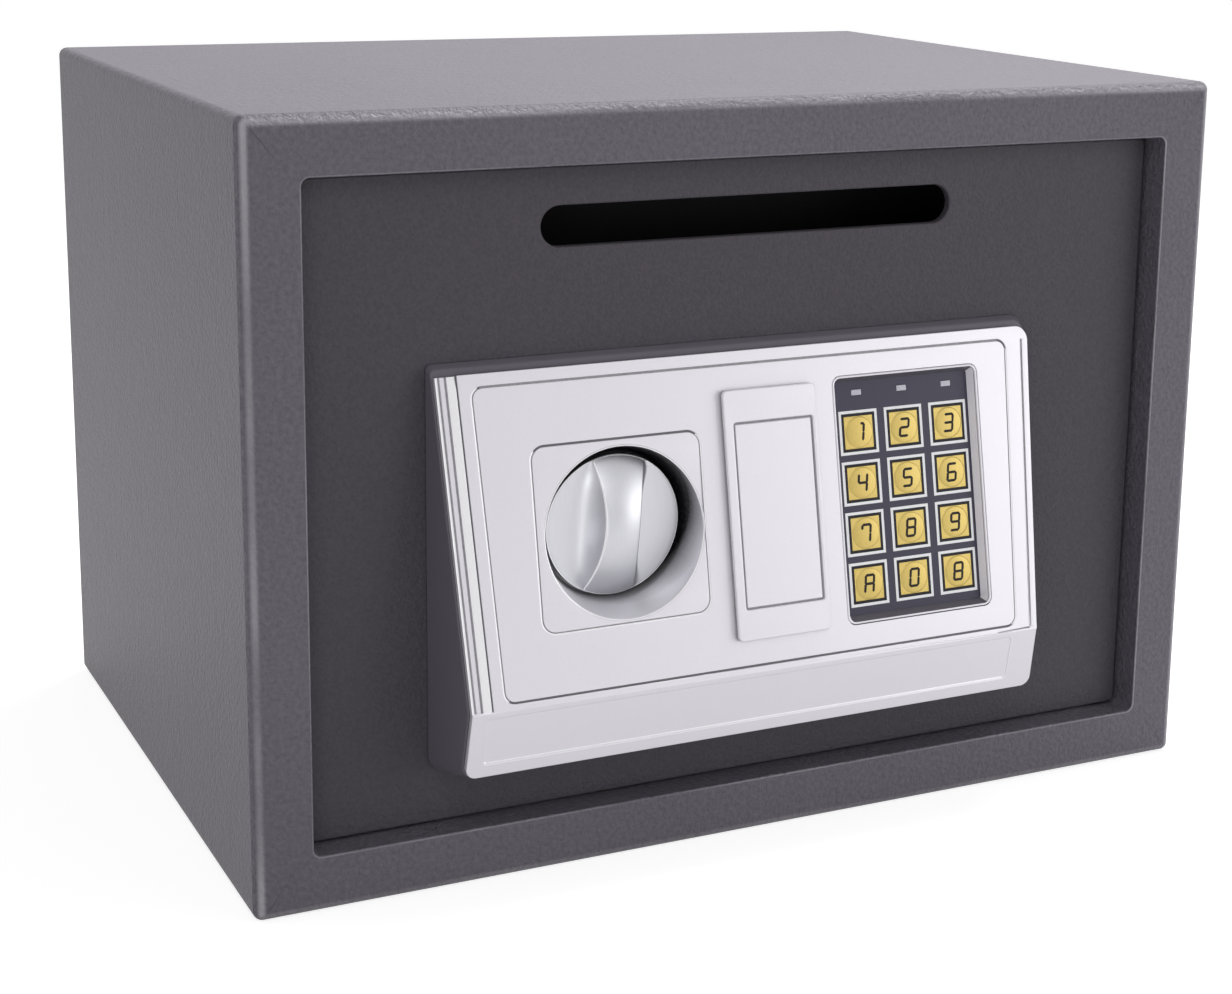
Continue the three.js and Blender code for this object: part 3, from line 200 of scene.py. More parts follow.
finishes = {
    # the cabinet's fold amount and fold colour paint a highlight and a shade along the shell's folds
    "cabinetPaint": dict(color=(0.133, 0.122, 0.147), rough=0.44, shine=0.22, sheen=(0.98, 0.94, 1.0),
                         grain=600, bump=1.0, depth=0.0008, tone=0.56, fold=0.85, foldHighlightColor=(0.48, 0.465, 0.50),
                         dust=0.06),
    # the door's paint is the cabinet's paint made darker, as painted shade on the recessed door
    "doorPaint": dict(color=(0.064, 0.0575, 0.069), rough=0.50, shine=0.22, sheen=(0.98, 0.94, 1.0), grain=900,
                      bump=0.60, tone=0.45, wear=0.30, wornColor=(0.15, 0.145, 0.16), dust=0.05),
    "greyPlastic": dict(color=(0.135, 0.122, 0.150), rough=0.42, shine=0.25, grain=1500, bump=0.05, tone=0.10,
                        wear=0.30, wornColor=(0.26, 0.25, 0.27), dust=0.05),
    "silverPaint": dict(color=(0.705, 0.686, 0.735), rough=0.39, metal=0.35, grain=2600, bump=0.035, tone=0.07,
                        wear=0.25, wornColor=(0.86, 0.86, 0.88), dust=0.03),
    # seamShade, bandShade and windowShade are painted shade for grooves and walls, and edgeLight a painted
    # highlight for rims and groove edges
    "seamShade": dict(color=(0.14, 0.135, 0.15), rough=0.50, grain=2600, bump=0.03, tone=0.15),
    # near black, as painted shade inside the door's slot
    "slotShadowBlack": dict(color=(0.007, 0.007, 0.008), rough=0.6, shine=0.12, grain=1050, bump=0.3, tone=0.2,
                       wear=0.1, wornColor=(0.05, 0.05, 0.05)),
    "bandShade": dict(color=(0.30, 0.295, 0.315), rough=0.50, grain=800, bump=0.05, tone=0.55),
    "edgeLight": dict(color=(0.93, 0.92, 0.95), rough=0.30, metal=0.15, grain=2600, bump=0.03, tone=0.05),
    "windowShade": dict(color=(0.085, 0.080, 0.098), rough=0.42, grain=1800, bump=0.04, tone=0.12,
                        wear=0.1, wornColor=(0.2, 0.2, 0.22)),
    "navyFilm": dict(color=(0.038, 0.035, 0.062), rough=0.38, shine=0.3, grain=2200, bump=0.03, tone=0.15,
                     wear=0.1, wornColor=(0.12, 0.12, 0.16), dust=0.05),
    "goldPrint": dict(color=(0.52, 0.385, 0.105), rough=0.33, metal=0.45, grain=1800, bump=0.05, tone=0.16,
                      wear=0.25, wornColor=(0.78, 0.62, 0.26), dust=0.03),
    "darkPrint": dict(color=(0.014, 0.010, 0.008), rough=0.5, shine=0.2, grain=2400, bump=0.03, tone=0.2),
    "whitePrint": dict(color=(0.88, 0.88, 0.92), rough=0.45, grain=2400, bump=0.03, tone=0.12),
    "blackPrint": dict(color=(0.010, 0.009, 0.013), rough=0.45, shine=0.2, grain=2400, bump=0.03, tone=0.2),
    "lensPlastic": dict(color=(0.50, 0.48, 0.56), rough=0.22, grain=1500, bump=0.02, tone=0.12,
                        wear=0.1, wornColor=(0.8, 0.8, 0.85), dust=0.03),
    "boardLaminate": dict(color=(0.030, 0.145, 0.050), rough=0.35, grain=900, bump=0.04, tone=0.25,
                          wear=0.2, wornColor=(0.35, 0.38, 0.22), dust=0.08),
    "blackPlastic": dict(color=(0.022, 0.022, 0.025), rough=0.48, grain=1300, bump=0.08, tone=0.2,
                         wear=0.3, wornColor=(0.09, 0.09, 0.10), dust=0.10),
    "redPlastic": dict(color=(0.46, 0.022, 0.014), rough=0.35, grain=1300, bump=0.03, tone=0.12,
                       wear=0.2, wornColor=(0.62, 0.12, 0.09), dust=0.04),
    "cellWrap": dict(color=(0.050, 0.085, 0.150), rough=0.30, metal=0.2, grain=900, bump=0.02, tone=0.15,
                     wear=0.3, wornColor=(0.3, 0.33, 0.38), dust=0.05),
    "zincSteel": dict(color=(0.50, 0.51, 0.53), rough=0.36, metal=1.0, brushed=(900.0, 900.0, 90.0), bump=0.06,
                      tone=0.30, wear=0.4, wornColor=(0.75, 0.75, 0.76), dust=0.05),
    "boltSteel": dict(color=(0.58, 0.58, 0.60), rough=0.27, metal=1.0, brushed=(2400.0, 80.0, 80.0), bump=0.06,
                      tone=0.22, wear=0.5, wornColor=(0.82, 0.82, 0.82), dust=0.03),
    "brassMetal": dict(color=(0.52, 0.36, 0.13), rough=0.32, metal=1.0, brushed=(900.0, 60.0, 900.0), bump=0.05,
                       tone=0.28, wear=0.5, wornColor=(0.80, 0.62, 0.30), dust=0.04),
    # edge wear set high, so the rubbed edges also carry a painted highlight
    "satinChrome": dict(color=(0.49, 0.49, 0.52), rough=0.41, metal=1.0, brushed=(1500.0, 1500.0, 110.0),
                        bump=0.022, tone=0.10, wear=0.9, wornColor=(0.95, 0.95, 0.96)),
}
dustColor = (0.42, 0.40, 0.38)
materials = {}


def placeGroup(tree, group, coords, **values):
    return addNode(tree, "ShaderNodeGroup", {"Vector": coords, **values}, node_tree=groups[group])


def mixColor(tree, factor, first, second):
    first, second = ((*color, 1.0) if isinstance(color, tuple) else color for color in (first, second))
    return addNode(tree, "ShaderNodeMix", {0: factor, 6: first, 7: second}, data_type="RGBA").outputs[2]


def startMaterial(name):
    material = bpy.data.materials.new(name)
    material.use_nodes = True
    materials[name] = material
    tree = material.node_tree
    return tree, tree.nodes["Principled BSDF"], addNode(tree, "ShaderNodeTexCoord").outputs["Object"]


def coatShader(tree, shader, surface, color, rough, look):
    bump = addNode(tree, "ShaderNodeBump", {"Strength": look["bump"], "Distance": look.get("depth", 0.0006),
                                            "Height": surface.outputs["Height"]})
    wire(tree, [(bump.outputs[0], shader.inputs["Normal"]), (color, shader.inputs["Base Color"]),
                (rough, shader.inputs["Roughness"])])
    shader.inputs["Metallic"].default_value = look.get("metal", 0.0)
    shader.inputs["Specular IOR Level"].default_value = look.get("shine", 0.5)
    shader.inputs["Specular Tint"].default_value = (*look.get("sheen", (1.0, 1.0, 1.0)), 1.0)


def buildFinish(name, look):
    tree, shader, coords = startMaterial(name)
    if "brushed" in look:
        surface = placeGroup(tree, "brushed", coords, Stretch=look["brushed"])
    else:
        surface = placeGroup(tree, "grain", coords, Scale=look["grain"])
    low, high = (tuple(min(1.0, c * (1 + sign * look["tone"])) for c in look["color"]) for sign in (-1, 1))
    color = mixColor(tree, surface.outputs["Tone"], low, high)
    rough = plus(tree, times(tree, surface.outputs["Tone"], 0.16), look["rough"] - 0.08)
    # painted highlight on the front half of each fold, and painted shade where the fold leaves the side
    if "fold" in look:
        fold = placeGroup(tree, "fold", coords, Amount=look["fold"])
        color = mixColor(tree, fold.outputs["Light"], color, look["foldHighlightColor"])
        color = mixColor(tree, times(tree, fold.outputs["Shade"], 0.6), color, low)
    if "wear" in look:
        wear = placeGroup(tree, "wear", coords, Amount=look["wear"])
        color = mixColor(tree, wear.outputs["Mask"], color, look["wornColor"])
    if "dust" in look:
        dust = placeGroup(tree, "dust", coords, Amount=look["dust"])
        color = mixColor(tree, dust.outputs["Mask"], color, dustColor)
        rough = plus(tree, rough, times(tree, dust.outputs["Mask"], 0.3), True)
    coatShader(tree, shader, surface, color, rough, look)


bowlShading = dict(bare=(0.010, 0.009, 0.013), silver=(0.86, 0.85, 0.89), centre=(-54.4, 114.15), floor=24.6,
                 mouth=27.6, upShare=0.62, sideShare=0.30, start=0.10, reach=0.80, speck=0.16, grain=2600.0,
                 rough=0.30, metal=0.6, shine=0.3, bump=0.03)


def buildBowlPaint():
    # Silver with painted shade: it turns near black at the foot, up the upper wall and towards the right, where
    # shadow falls in the bowl
    tree, shader, coords = startMaterial("bowlShadedPaint")
    parts = partsOf(tree, coords)
    centreX, centreZ, floorAt, mouthAt = (
        value * mm for value in (*bowlShading["centre"], bowlShading["floor"], bowlShading["mouth"]))
    across, upward = minus(tree, parts["X"], centreX), minus(tree, parts["Z"], centreZ)
    radius = mathNode(tree, "SQRT", plus(tree, times(tree, across, across), times(tree, upward, upward)))
    climb = portion(tree, minus(tree, radius, floorAt), mouthAt - floorAt)
    lean = plus(tree, times(tree, upward, bowlShading["upShare"] / mouthAt),
                times(tree, across, bowlShading["sideShare"] / mouthAt))
    # how far the silver shows through the painted shade
    cover = portion(tree, minus(tree, minus(tree, climb, bowlShading["start"]), lean), bowlShading["reach"])
    grain = placeGroup(tree, "grain", coords, Scale=bowlShading["grain"])
    speck = times(tree, minus(tree, grain.outputs["Height"], 0.7), bowlShading["speck"])
    color = mixColor(tree, plus(tree, cover, speck, True), bowlShading["bare"], bowlShading["silver"])
    rough = plus(tree, times(tree, grain.outputs["Tone"], 0.1), bowlShading["rough"])
    coatShader(tree, shader, grain, color, rough, bowlShading)


for finishName, finishLook in finishes.items():
    buildFinish(finishName, finishLook)
buildBowlPaint()
print("materials built:", len(materials))

finishOfSlot = {
    "cabinet_paint": "cabinetPaint", "door_paint": "doorPaint", "grey_plastic": "greyPlastic",
    "silver_plastic": "silverPaint", "satin_chrome": "satinChrome", "navy_plastic": "navyFilm",
    "gold_plastic": "goldPrint", "lens_plastic": "lensPlastic", "board_laminate": "boardLaminate",
    "zinc_steel": "zincSteel", "bolt_steel": "boltSteel", "brass_metal": "brassMetal",
    "black_plastic": "blackPlastic", "red_plastic": "redPlastic", "cell_wrap": "cellWrap",
}


def straight(x, depth, z):
    # Depth counts from the door's front, into the cabinet
    return Vector((x, doorY + depth, z)) * mm


def roundedShape(corners, radii, steps=7):
    # Corners run counter-clockwise; the ring moves in by an inset, and out where it is negative
    if not isinstance(radii, (list, tuple)):
        radii = [radii] * len(corners)

    def ring(inset=0.0):
        points = []
        for i, corner in enumerate(corners):
            before, here, after = (Vector(corners[j % len(corners)]) for j in (i - 1, i, i + 1))
            toHere, fromHere = (here - before).normalized(), (after - here).normalized()
            normalIn, normalOut = Vector((-toHere.y, toHere.x)), Vector((-fromHere.y, fromHere.x))
            radius = max(radii[i] - inset, 0.02)
            centre = here + (normalIn + normalOut) * (inset + radius) / (1 + normalIn.dot(normalOut))
            start = math.atan2(-normalIn.y, -normalIn.x)
            turn = math.atan2(toHere.x * fromHere.y - toHere.y * fromHere.x, toHere.dot(fromHere))
            for step in range(steps + 1):
                angle = start + turn * step / steps
                points.append((centre.x + radius * math.cos(angle), centre.y + radius * math.sin(angle)))
        return points
    return ring


def rectShape(x0, x1, z0, z1, radius, steps=7):
    return roundedShape([(x0, z0), (x1, z0), (x1, z1), (x0, z1)], radius, steps)


def centredShape(x, z, width, height, radius, steps=7):
    return rectShape(x - width / 2, x + width / 2, z - height / 2, z + height / 2, radius, steps)


def circleShape(x, z, radius, steps=72):
    def ring(inset=0.0):
        return [(x + (radius - inset) * math.cos(2 * math.pi * i / steps),
                 z + (radius - inset) * math.sin(2 * math.pi * i / steps)) for i in range(steps)]
    return ring


def quarter(steps):
    # The sine and cosine at even steps of a quarter turn
    angles = [math.pi / 2 * step / steps for step in range(steps + 1)]
    return [(math.sin(angle), math.cos(angle)) for angle in angles]


def eased(front, thickness, back=0.0, steps=3):
    # Inset and depth from front to back, with a quarter round at each face
    profile = [(front * (1 - sine), front * (1 - cosine)) for sine, cosine in quarter(steps)]
    if not back:
        return profile + [(0.0, thickness)]
    return profile + [(back * (1 - cosine), thickness - back * (1 - sine)) for sine, cosine in quarter(steps)]


def bridge(bm, first, second, material=0):
    count = len(first)
    for i in range(count):
        j = (i + 1) % count
        face = bm.faces.new((first[i], first[j], second[j], second[i]))
        face.material_index = material if isinstance(material, int) else material[i]


def capLoops(bm, loops, material=0):
    flat = [vert for loop in loops for vert in loop]
    for triangle in tessellate_polygon([[vert.co for vert in loop] for loop in loops]):
        face = bm.faces.new([flat[i] for i in triangle])
        face.material_index = material


def addSlab(bm, outer, holes, profile, place, base=0.0, material=0):
    # A closed plate with holes; the profile rounds its rims
    allLevels = []
    for shape, sign in [(outer, 1)] + [(hole, -1) for hole in holes]:
        levels = [[bm.verts.new(place(x, base + depth, z)) for x, z in shape(sign * inset)]
                  for inset, depth in profile]
        for upper, lower in zip(levels, levels[1:]):
            bridge(bm, upper, lower, material)
        allLevels.append(levels)
    capLoops(bm, [levels[0] for levels in allLevels], material)
    capLoops(bm, [levels[-1] for levels in allLevels], material)


def addRings(bm, rings, closed=False, capped=True, material=0):
    made = [[bm.verts.new(point) for point in ring] for ring in rings]
    for first, second in zip(made, made[1:]):
        bridge(bm, first, second, material)
    if closed:
        bridge(bm, made[-1], made[0], material)
    elif capped:
        for end in (made[0], made[-1]):
            capLoops(bm, [end], material if isinstance(material, int) else material[-1])
    return made


def standUp(name, data):
    made = bpy.data.objects.new(name, data)
    bpy.context.scene.collection.objects.link(made)
    return made


def meshFrom(name, bm, outward=True):
    if outward:
        bmesh.ops.recalc_face_normals(bm, faces=bm.faces)
    mesh = bpy.data.meshes.new(name)
    bm.to_mesh(mesh)
    bm.free()
    return mesh


def evaluatedMesh(piece):
    bpy.context.view_layer.update()
    shown = piece.evaluated_get(bpy.context.evaluated_depsgraph_get())
    return bpy.data.meshes.new_from_object(shown)


def appliedMesh(carrier):
    # The evaluated result as a plain mesh, and the object that carried the modifiers goes
    mesh = evaluatedMesh(carrier)
    bpy.data.objects.remove(carrier)
    return mesh


def settlePiece(name, mesh, finishNames, body, nodes, smooth=32):
    for finish in finishNames:
        mesh.materials.append(materials[finish])
    mesh.shade_smooth()
    mesh.set_sharp_from_angle(angle=math.radians(smooth))
    piece = standUp(name, mesh)
    weighted = piece.modifiers.new("flats", "WEIGHTED_NORMAL")
    weighted.keep_sharp = True
    weighted.weight = 90
    evened = evaluatedMesh(piece)
    piece.modifiers.clear()
    piece.data = evened
    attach(piece, body)
    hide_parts(*nodes)


def finishPiece(name, bm, finishNames, body, nodes, smooth=32):
    settlePiece(name, meshFrom(name, bm), finishNames, body, nodes, smooth)


def camel(node):
    head, *rest = node.split("_")
    return head + "".join(word.capitalize() for word in rest)


slotOf = {node: solid.data.materials[0].name for node, solid in frame["nodes"].items()}
solidSkin = dict(merge=2e-6, flat=0.8, corner=38, segments=2)  # distances in metres, angles in degrees


def machined(node, width, finish=None, extras=()):
    # A finer skin over a plain solid: faces joined up, and outer edges rounded
    bm = bmesh.new()
    bm.from_mesh(frame["nodes"][node].data)
    bmesh.ops.remove_doubles(bm, verts=bm.verts, dist=solidSkin["merge"])
    bmesh.ops.dissolve_limit(bm, angle_limit=math.radians(solidSkin["flat"]), verts=bm.verts, edges=bm.edges)
    carrier = standUp(node + "Skin", meshFrom(node + "Skin", bm, False))
    bevel = carrier.modifiers.new("round", "BEVEL")
    bevel.width = width * mm
    bevel.segments = solidSkin["segments"]
    bevel.limit_method = "ANGLE"
    bevel.angle_limit = math.radians(solidSkin["corner"])
    bevel.miter_outer = "MITER_ARC"
    result = appliedMesh(carrier)
    if extras:
        bm = bmesh.new()
        for mesh in (result, *extras):
            bm.from_mesh(mesh)
        for part in bm.faces:
            part.material_index = 0
        bm.to_mesh(result)
        bm.free()
    slot = slotOf[node]
    settlePiece(camel(node), result, [finish or finishOfSlot[slot]], bodyOf[node], [node])


def startGeometry(name, sizes):
    # Its named inputs: a Count is whole, and all else is a length in millimetres
    tree = bpy.data.node_groups.new(name, "GeometryNodeTree")
    for label, value in sizes.items():
        whole = label == "Count"
        kind = "NodeSocketInt" if whole else "NodeSocketFloat"
        socket = tree.interface.new_socket(name=label, in_out="INPUT", socket_type=kind)
        socket.default_value = value if whole else value * mm
    tree.interface.new_socket(name="Geometry", in_out="OUTPUT", socket_type="NodeSocketGeometry")
    return tree, tree.nodes.new("NodeGroupInput").outputs, tree.nodes.new("NodeGroupOutput").inputs


def combined(tree, x=0.0, y=0.0, z=0.0):
    return addNode(tree, "ShaderNodeCombineXYZ", {0: x, 1: y, 2: z}).outputs[0]


def joined(tree, *parts):
    node = addNode(tree, "GeometryNodeJoinGeometry")
    wire(tree, [(part, node.inputs[0]) for part in parts])
    return node.outputs[0]


def shifted(tree, geometry, **feeds):
    return addNode(tree, "GeometryNodeTransform", {"Geometry": geometry, **feeds}).outputs[0]


def roundForm(tree, segments, rings, radius, height):
    # A ball of one metre, squashed to a radius and a height
    ball = addNode(tree, "GeometryNodeMeshUVSphere", {"Segments": segments, "Rings": rings, "Radius": 1.0})
    return shifted(tree, ball.outputs["Mesh"], Scale=combined(tree, radius, radius, height))


def painted(tree, geometry, material):
    feeds = {"Geometry": geometry, "Material": materials[material]}
    return addNode(tree, "GeometryNodeSetMaterial", feeds).outputs[0]


def repeated(tree, points, instance, **feeds):
    # One real copy on every point
    spread = addNode(tree, "GeometryNodeInstanceOnPoints", {"Points": points, "Instance": instance, **feeds})
    return addNode(tree, "GeometryNodeRealizeInstances", {0: spread.outputs[0]}).outputs[0]


def grown(tree):
    # One plain mesh from a geometry tree, with its inputs set before it is first evaluated
    carrier = standUp(tree.name, bpy.data.meshes.new(tree.name))
    modifier = carrier.modifiers.new(tree.name, "NODES")
    modifier.node_group = tree
    for item in tree.interface.items_tree:
        if item.item_type == "SOCKET" and item.in_out == "INPUT":
            modifier[item.identifier] = item.default_value
    return appliedMesh(carrier)


def standMesh(mesh, right, up, out, at):
    # Moves a mesh that was laid out flat: its x, y and z now run along three directions from a place
    mesh.transform(Matrix.Translation(at) @ Matrix((right, up, out)).transposed().to_4x4())


view = dict(azimuth=-26.2551, elevation=12.0482, roll=0.8799, focal=2286.608, pictureWidth=1232, sensor=36.0,
            place=(-349.399, -765.959, 323.086), shiftX=-0.05, shiftY=-0.12)  # focal in the photo's pixels


def placeCamera():
    azimuth, elevation, roll = (math.radians(view[key]) for key in ("azimuth", "elevation", "roll"))
    back = Vector((math.sin(azimuth) * math.cos(elevation), -math.cos(azimuth) * math.cos(elevation),
                   math.sin(elevation)))
    right = (-back).cross(Vector((0, 0, 1))).normalized()
    up = right.cross(-back)
    turnedRight = right * math.cos(roll) + up * math.sin(roll)
    turnedUp = up * math.cos(roll) - right * math.sin(roll)
    data = bpy.data.cameras.new("photoCamera")
    data.sensor_width = view["sensor"]
    data.lens = view["focal"] * view["sensor"] / view["pictureWidth"]
    data.shift_x, data.shift_y = view["shiftX"], view["shiftY"]
    data.clip_start, data.clip_end = 0.01, 50.0
    camera = standUp("photoCamera", data)
    camera.matrix_world = Matrix.Translation(Vector(view["place"]) * mm) @ Matrix(
        (turnedRight, turnedUp, back)).transposed().to_4x4()
    bpy.context.scene.camera = camera


placeCamera()


cabinet = dict(width=350, height=250, depth=250, sheet=1.5, edge=3.0, fold=4.2, openingEdge=0.9, sideReturn=14,
               levelReturn=22, opening=(-156, 156, 19, 231), openingRadius=2.5, cornerFoot=4.0,
               anchors=((-80, 0), (80, 0)), anchorRadius=5.5)


def cabinetRing(grow, side, low, high, radius):
    # The corner feet, where the side returns grow shorter, are points of every ring
    foot, tiny = cabinet["cornerFoot"], 0.02
    outline = [(-side, low), (side, low), (side, low + foot), (side, low + foot + tiny),
               (side, high - foot - tiny), (side, high - foot), (side, high), (-side, high),
               (-side, high - foot), (-side, high - foot - tiny), (-side, low + foot + tiny),
               (-side, low + foot)]
    radii = [radius if i in (0, 1, 6, 7) else 0.0 for i in range(len(outline))]
    return roundedShape(outline, radii, 8)(grow)


def buildCabinet():
    half, height, front = cabinet["width"] / 2, cabinet["height"], -cabinet["depth"] / 2
    sheet, fold, small = cabinet["sheet"], cabinet["fold"], cabinet["openingEdge"]
    low, high = cabinet["opening"][2:]
    foot = cabinet["cornerFoot"]

    def outer(inset, y):
        return [Vector((x, y, z)) * mm for x, z in cabinetRing(inset, half, 0, height, cabinet["edge"])]

    def openingLine(inset):
        return cabinetRing(inset, *cabinet["opening"][1:], cabinet["openingRadius"])

    def opening(inset, y):
        return [Vector((x, y, z)) * mm for x, z in openingLine(inset)]

    def returnEnd(inset):
        points = []
        for x, z in openingLine(inset):
            onSide = abs(x) > cabinet["opening"][1] - 1 and low + foot + 0.01 < z < high - foot - 0.01
            points.append(Vector((x, front + cabinet["sideReturn" if onSide else "levelReturn"], z)) * mm)
        return points

    rings = [outer(0, -front)]
    rings += [outer(fold * (1 - cosine), front + fold * (1 - sine)) for sine, cosine in quarter(8)]
    rings += [opening(-small * (1 - sine), front + small * (1 - cosine)) for sine, cosine in quarter(4)]
    rings += [returnEnd(0), returnEnd(-sheet), opening(-sheet, front + sheet), outer(sheet, front + sheet),
              outer(sheet, -front)]
    bm = bmesh.new()
    addRings(bm, rings, closed=True)
    shell = standUp("shellBlank", meshFrom("shellBlank", bm))
    drills = []
    for x, y in cabinet["anchors"]:
        tool = bmesh.new()
        circle = circleShape(0, 0, cabinet["anchorRadius"], 40)()
        addRings(tool, [[Vector((x + px, y + py, z)) * mm for px, py in circle] for z in (-1, 3)])
        drill = standUp("drill", meshFrom("drill", tool))
        cut = shell.modifiers.new("anchor", "BOOLEAN")
        cut.object, cut.operation, cut.solver = drill, "DIFFERENCE", "EXACT"
        drills.append(drill)
    drilled = appliedMesh(shell)
    for drill in drills:
        bpy.data.objects.remove(drill)
    settlePiece("cabinetShell", drilled, ["cabinetPaint"], "cabinet", ["cabinet_shell"])


buildCabinet()


weldSpots = dict(count=26, width=336, height=236, centre=125, at=123.5, radius=2.8, proud=0.25, segments=20,
                 rings=12)


def weldTree():
    # Spot welds at even steps along a rectangle
    tree, given, result = startGeometry("weldSpots", {
        "Count": weldSpots["count"], "Width": weldSpots["width"], "Height": weldSpots["height"],
        "Radius": weldSpots["radius"], "Proud": weldSpots["proud"]})
    line = addNode(tree, "GeometryNodeCurvePrimitiveQuadrilateral", {
        "Width": given["Width"], "Height": given["Height"]})
    steps = addNode(tree, "GeometryNodeResampleCurve", {
        "Curve": line.outputs["Curve"], "Count": given["Count"]})
    spot = roundForm(tree, weldSpots["segments"], weldSpots["rings"], given["Radius"], given["Proud"])
    wire(tree, [(painted(tree, repeated(tree, steps.outputs[0], spot), "cabinetPaint"), result[0])])
    return tree


def buildBackPanel():
    spots = grown(weldTree())
    standMesh(spots, (1, 0, 0), (0, 0, 1), (0, -1, 0), Vector((0, weldSpots["at"], weldSpots["centre"])) * mm)
    machined("back_panel", 0.3, extras=[spots])


buildBackPanel()
print("cabinet built")


doorPlate = dict(left=-155, right=154, low=20, high=230, radius=2, thickness=3, edge=0.7, backEdge=0.3,
                 slot=dict(x=-1.8, z=211, width=150, height=13), shaft=(-54.4, 114.15, 7.1),
                 lock=(-0.7, 118, 9.3), wires=(52.8, 118, 6))


def buildDoor():
    slot = doorPlate["slot"]
    holes = [centredShape(slot["x"], slot["z"], slot["width"], slot["height"], slot["height"] / 2 - 0.01, 16)]
    holes += [circleShape(*doorPlate[key], 48) for key in ("shaft", "lock", "wires")]
    outline = rectShape(*(doorPlate[key] for key in ("left", "right", "low", "high", "radius")))
    profile = eased(doorPlate["edge"], doorPlate["thickness"], doorPlate["backEdge"], 4)
    bm = bmesh.new()
    addSlab(bm, outline, holes, profile, straight)
    finishPiece("doorPlate", bm, ["doorPaint"], "door", ["door_plate"])


buildDoor()
# the baffle seen through the slot is painted near black as the slot's shade
machined("slot_baffle", 0.35, finish="slotShadowBlack")
for node in ("hinge_block_top", "hinge_block_bottom"):
    machined(node, 0.35)
for node in ("hinge_pin_top", "hinge_pin_bottom"):
    machined(node, 0.3)
print("door built")


panel = dict(left=-115.7, right=104.3, low=37.4, high=170.8, radius=5, corners=(5, 5, 0, 5, 2, 0),
             sideShare=0.2, topShare=3.2 / 6, chinShare=4.5 / 22.3, topEdge=(-6.0, 167.6),
             bendEdge=(-26.6, 64.2), chinEdge=(-22.3, 41.9), faceThickness=2.2, wall=2.4, gap=0.3)
topEdge, bendEdge, chinEdge = (Vector(panel[key]) for key in ("topEdge", "bendEdge", "chinEdge"))
faceDown, chinDown = (bendEdge - topEdge).normalized(), (chinEdge - bendEdge).normalized()
faceIn, chinIn = Vector((-faceDown.y, faceDown.x)), Vector((-chinDown.y, chinDown.x))
faceLength, chinLength = (bendEdge - topEdge).length, (chinEdge - bendEdge).length


def onFace(x, depth, z):
    # z is minus the distance down the slope from the face's top edge
    point = topEdge - faceDown * z + faceIn * depth
    return straight(x, point.x, point.y)


def onChin(x, depth, z):
    point = bendEdge - chinDown * z + chinIn * depth
    return straight(x, point.x, point.y)


def wallX(hand, out, inset=0.0):
    # The x of the left or right drafted wall, at a distance in front of the door
    if hand < 0:
        return panel["left"] + panel["sideShare"] * out + inset
    return panel["right"] - panel["sideShare"] * out - inset


def wallOutline(out, inset):
    low = panel["low"] + panel["chinShare"] * out + inset
    high = panel["high"] - panel["topShare"] * out - inset
    left, right, bend = wallX(-1, out, inset), wallX(1, out, inset), bendEdge.y
    corners = [(left, low), (right, low), (right, bend), (right, high), (left, high), (left, bend)]
    return roundedShape(corners, [max(radius - inset / 2, 0.0) for radius in panel["corners"]], 9)()


def proudRing(inset, proud):
    return [straight(x, -proud, z) for x, z in wallOutline(proud, inset)]


def frontRing(inset, depth):
    # Where the drafted walls meet the front, sunk by a depth
    points, reach = [], 10.0
    for (x0, z0), (x1, z1) in zip(wallOutline(0.0, inset), wallOutline(reach, inset)):
        start, step = Vector((0.0, z0)), Vector((-reach, z1 - z0))
        share = min((depth - (start - origin).dot(inward)) / step.dot(inward)
                    for origin, inward in ((topEdge, faceIn), (bendEdge, chinIn)))
        points.append(straight(x0 + (x1 - x0) * share, -reach * share, z0 + (z1 - z0) * share))
    return points


def buildHousing():
    front, wall = panel["faceThickness"] + panel["gap"], panel["wall"]
    rings = [proudRing(0.25, 0.3), proudRing(0.0, 0.8), frontRing(0.0, front + 0.45),
             frontRing(0.13, front + 0.13), frontRing(0.45, front), frontRing(wall, front), proudRing(wall, 0.3)]
    bm = bmesh.new()
    addRings(bm, rings, closed=True)
    finishPiece("panelHousing", bm, ["greyPlastic"], "door", ["panel_housing"])


buildHousing()

# The face's finishes, and the names of their slots: seamShade, windowShade and bandShade are painted shade,
# edgeLight a painted highlight, and the bowl's silver carries painted shade
faceFinishes = ["silverPaint", "seamShade", "silverPaint", "bowlShadedPaint", "windowShade", "edgeLight", "bandShade"]
silver, grooveShade, chinBack, shadedBowl, paintedWindowShade, paintedLight, greyShade = range(7)
face = dict(edge=0.22, groove=0.72, grooveDepth=0.6, skin=0.75,
            border=[(-99.5, -103.5), (90.7, -103.5), (94.0, -3.9), (-103.4, -3.9)], borderRadius=4.0,
            pad=(-85.3, -25.7, -83.8, -24.0), padRadius=5.0,
            window=(25.2, 80.4, -93.8, -12.4), windowRadius=2.2, lip=1.0, windowDepth=3.3, windowWall=2.0,
            windowDraft=1.45, rightRim=2.3, rimStart=4.6, rimSunk=0.34,
            lock=(-0.7, -50.57, 12.0), tabs=((-0.7, -22.5), (-0.7, -84.5)), tabSize=(9.6, 2.0),
            chinInset=(-105.5, 88.6, -17.7, -2.1), chinRadius=3.6, chinSink=0.44)
# Groove floors: depths at shares of the way across, and the finish of each stretch, a painted highlight on the
# outer side and painted shade on the inner one
litFloor = dict(profile=((0.0, 0.08), (0.48, 0.14), (0.52, 0.42), (1.0, 0.42)), shades=(paintedLight, silver, greyShade))
greyFloor = dict(profile=((0.0, 0.36), (1.0, 0.36)), shades=(greyShade,))
stepFloor = dict(profile=((0.0, -0.04), (0.2, 0.02), (1.0, 0.46)), shades=(paintedLight, paintedLight))
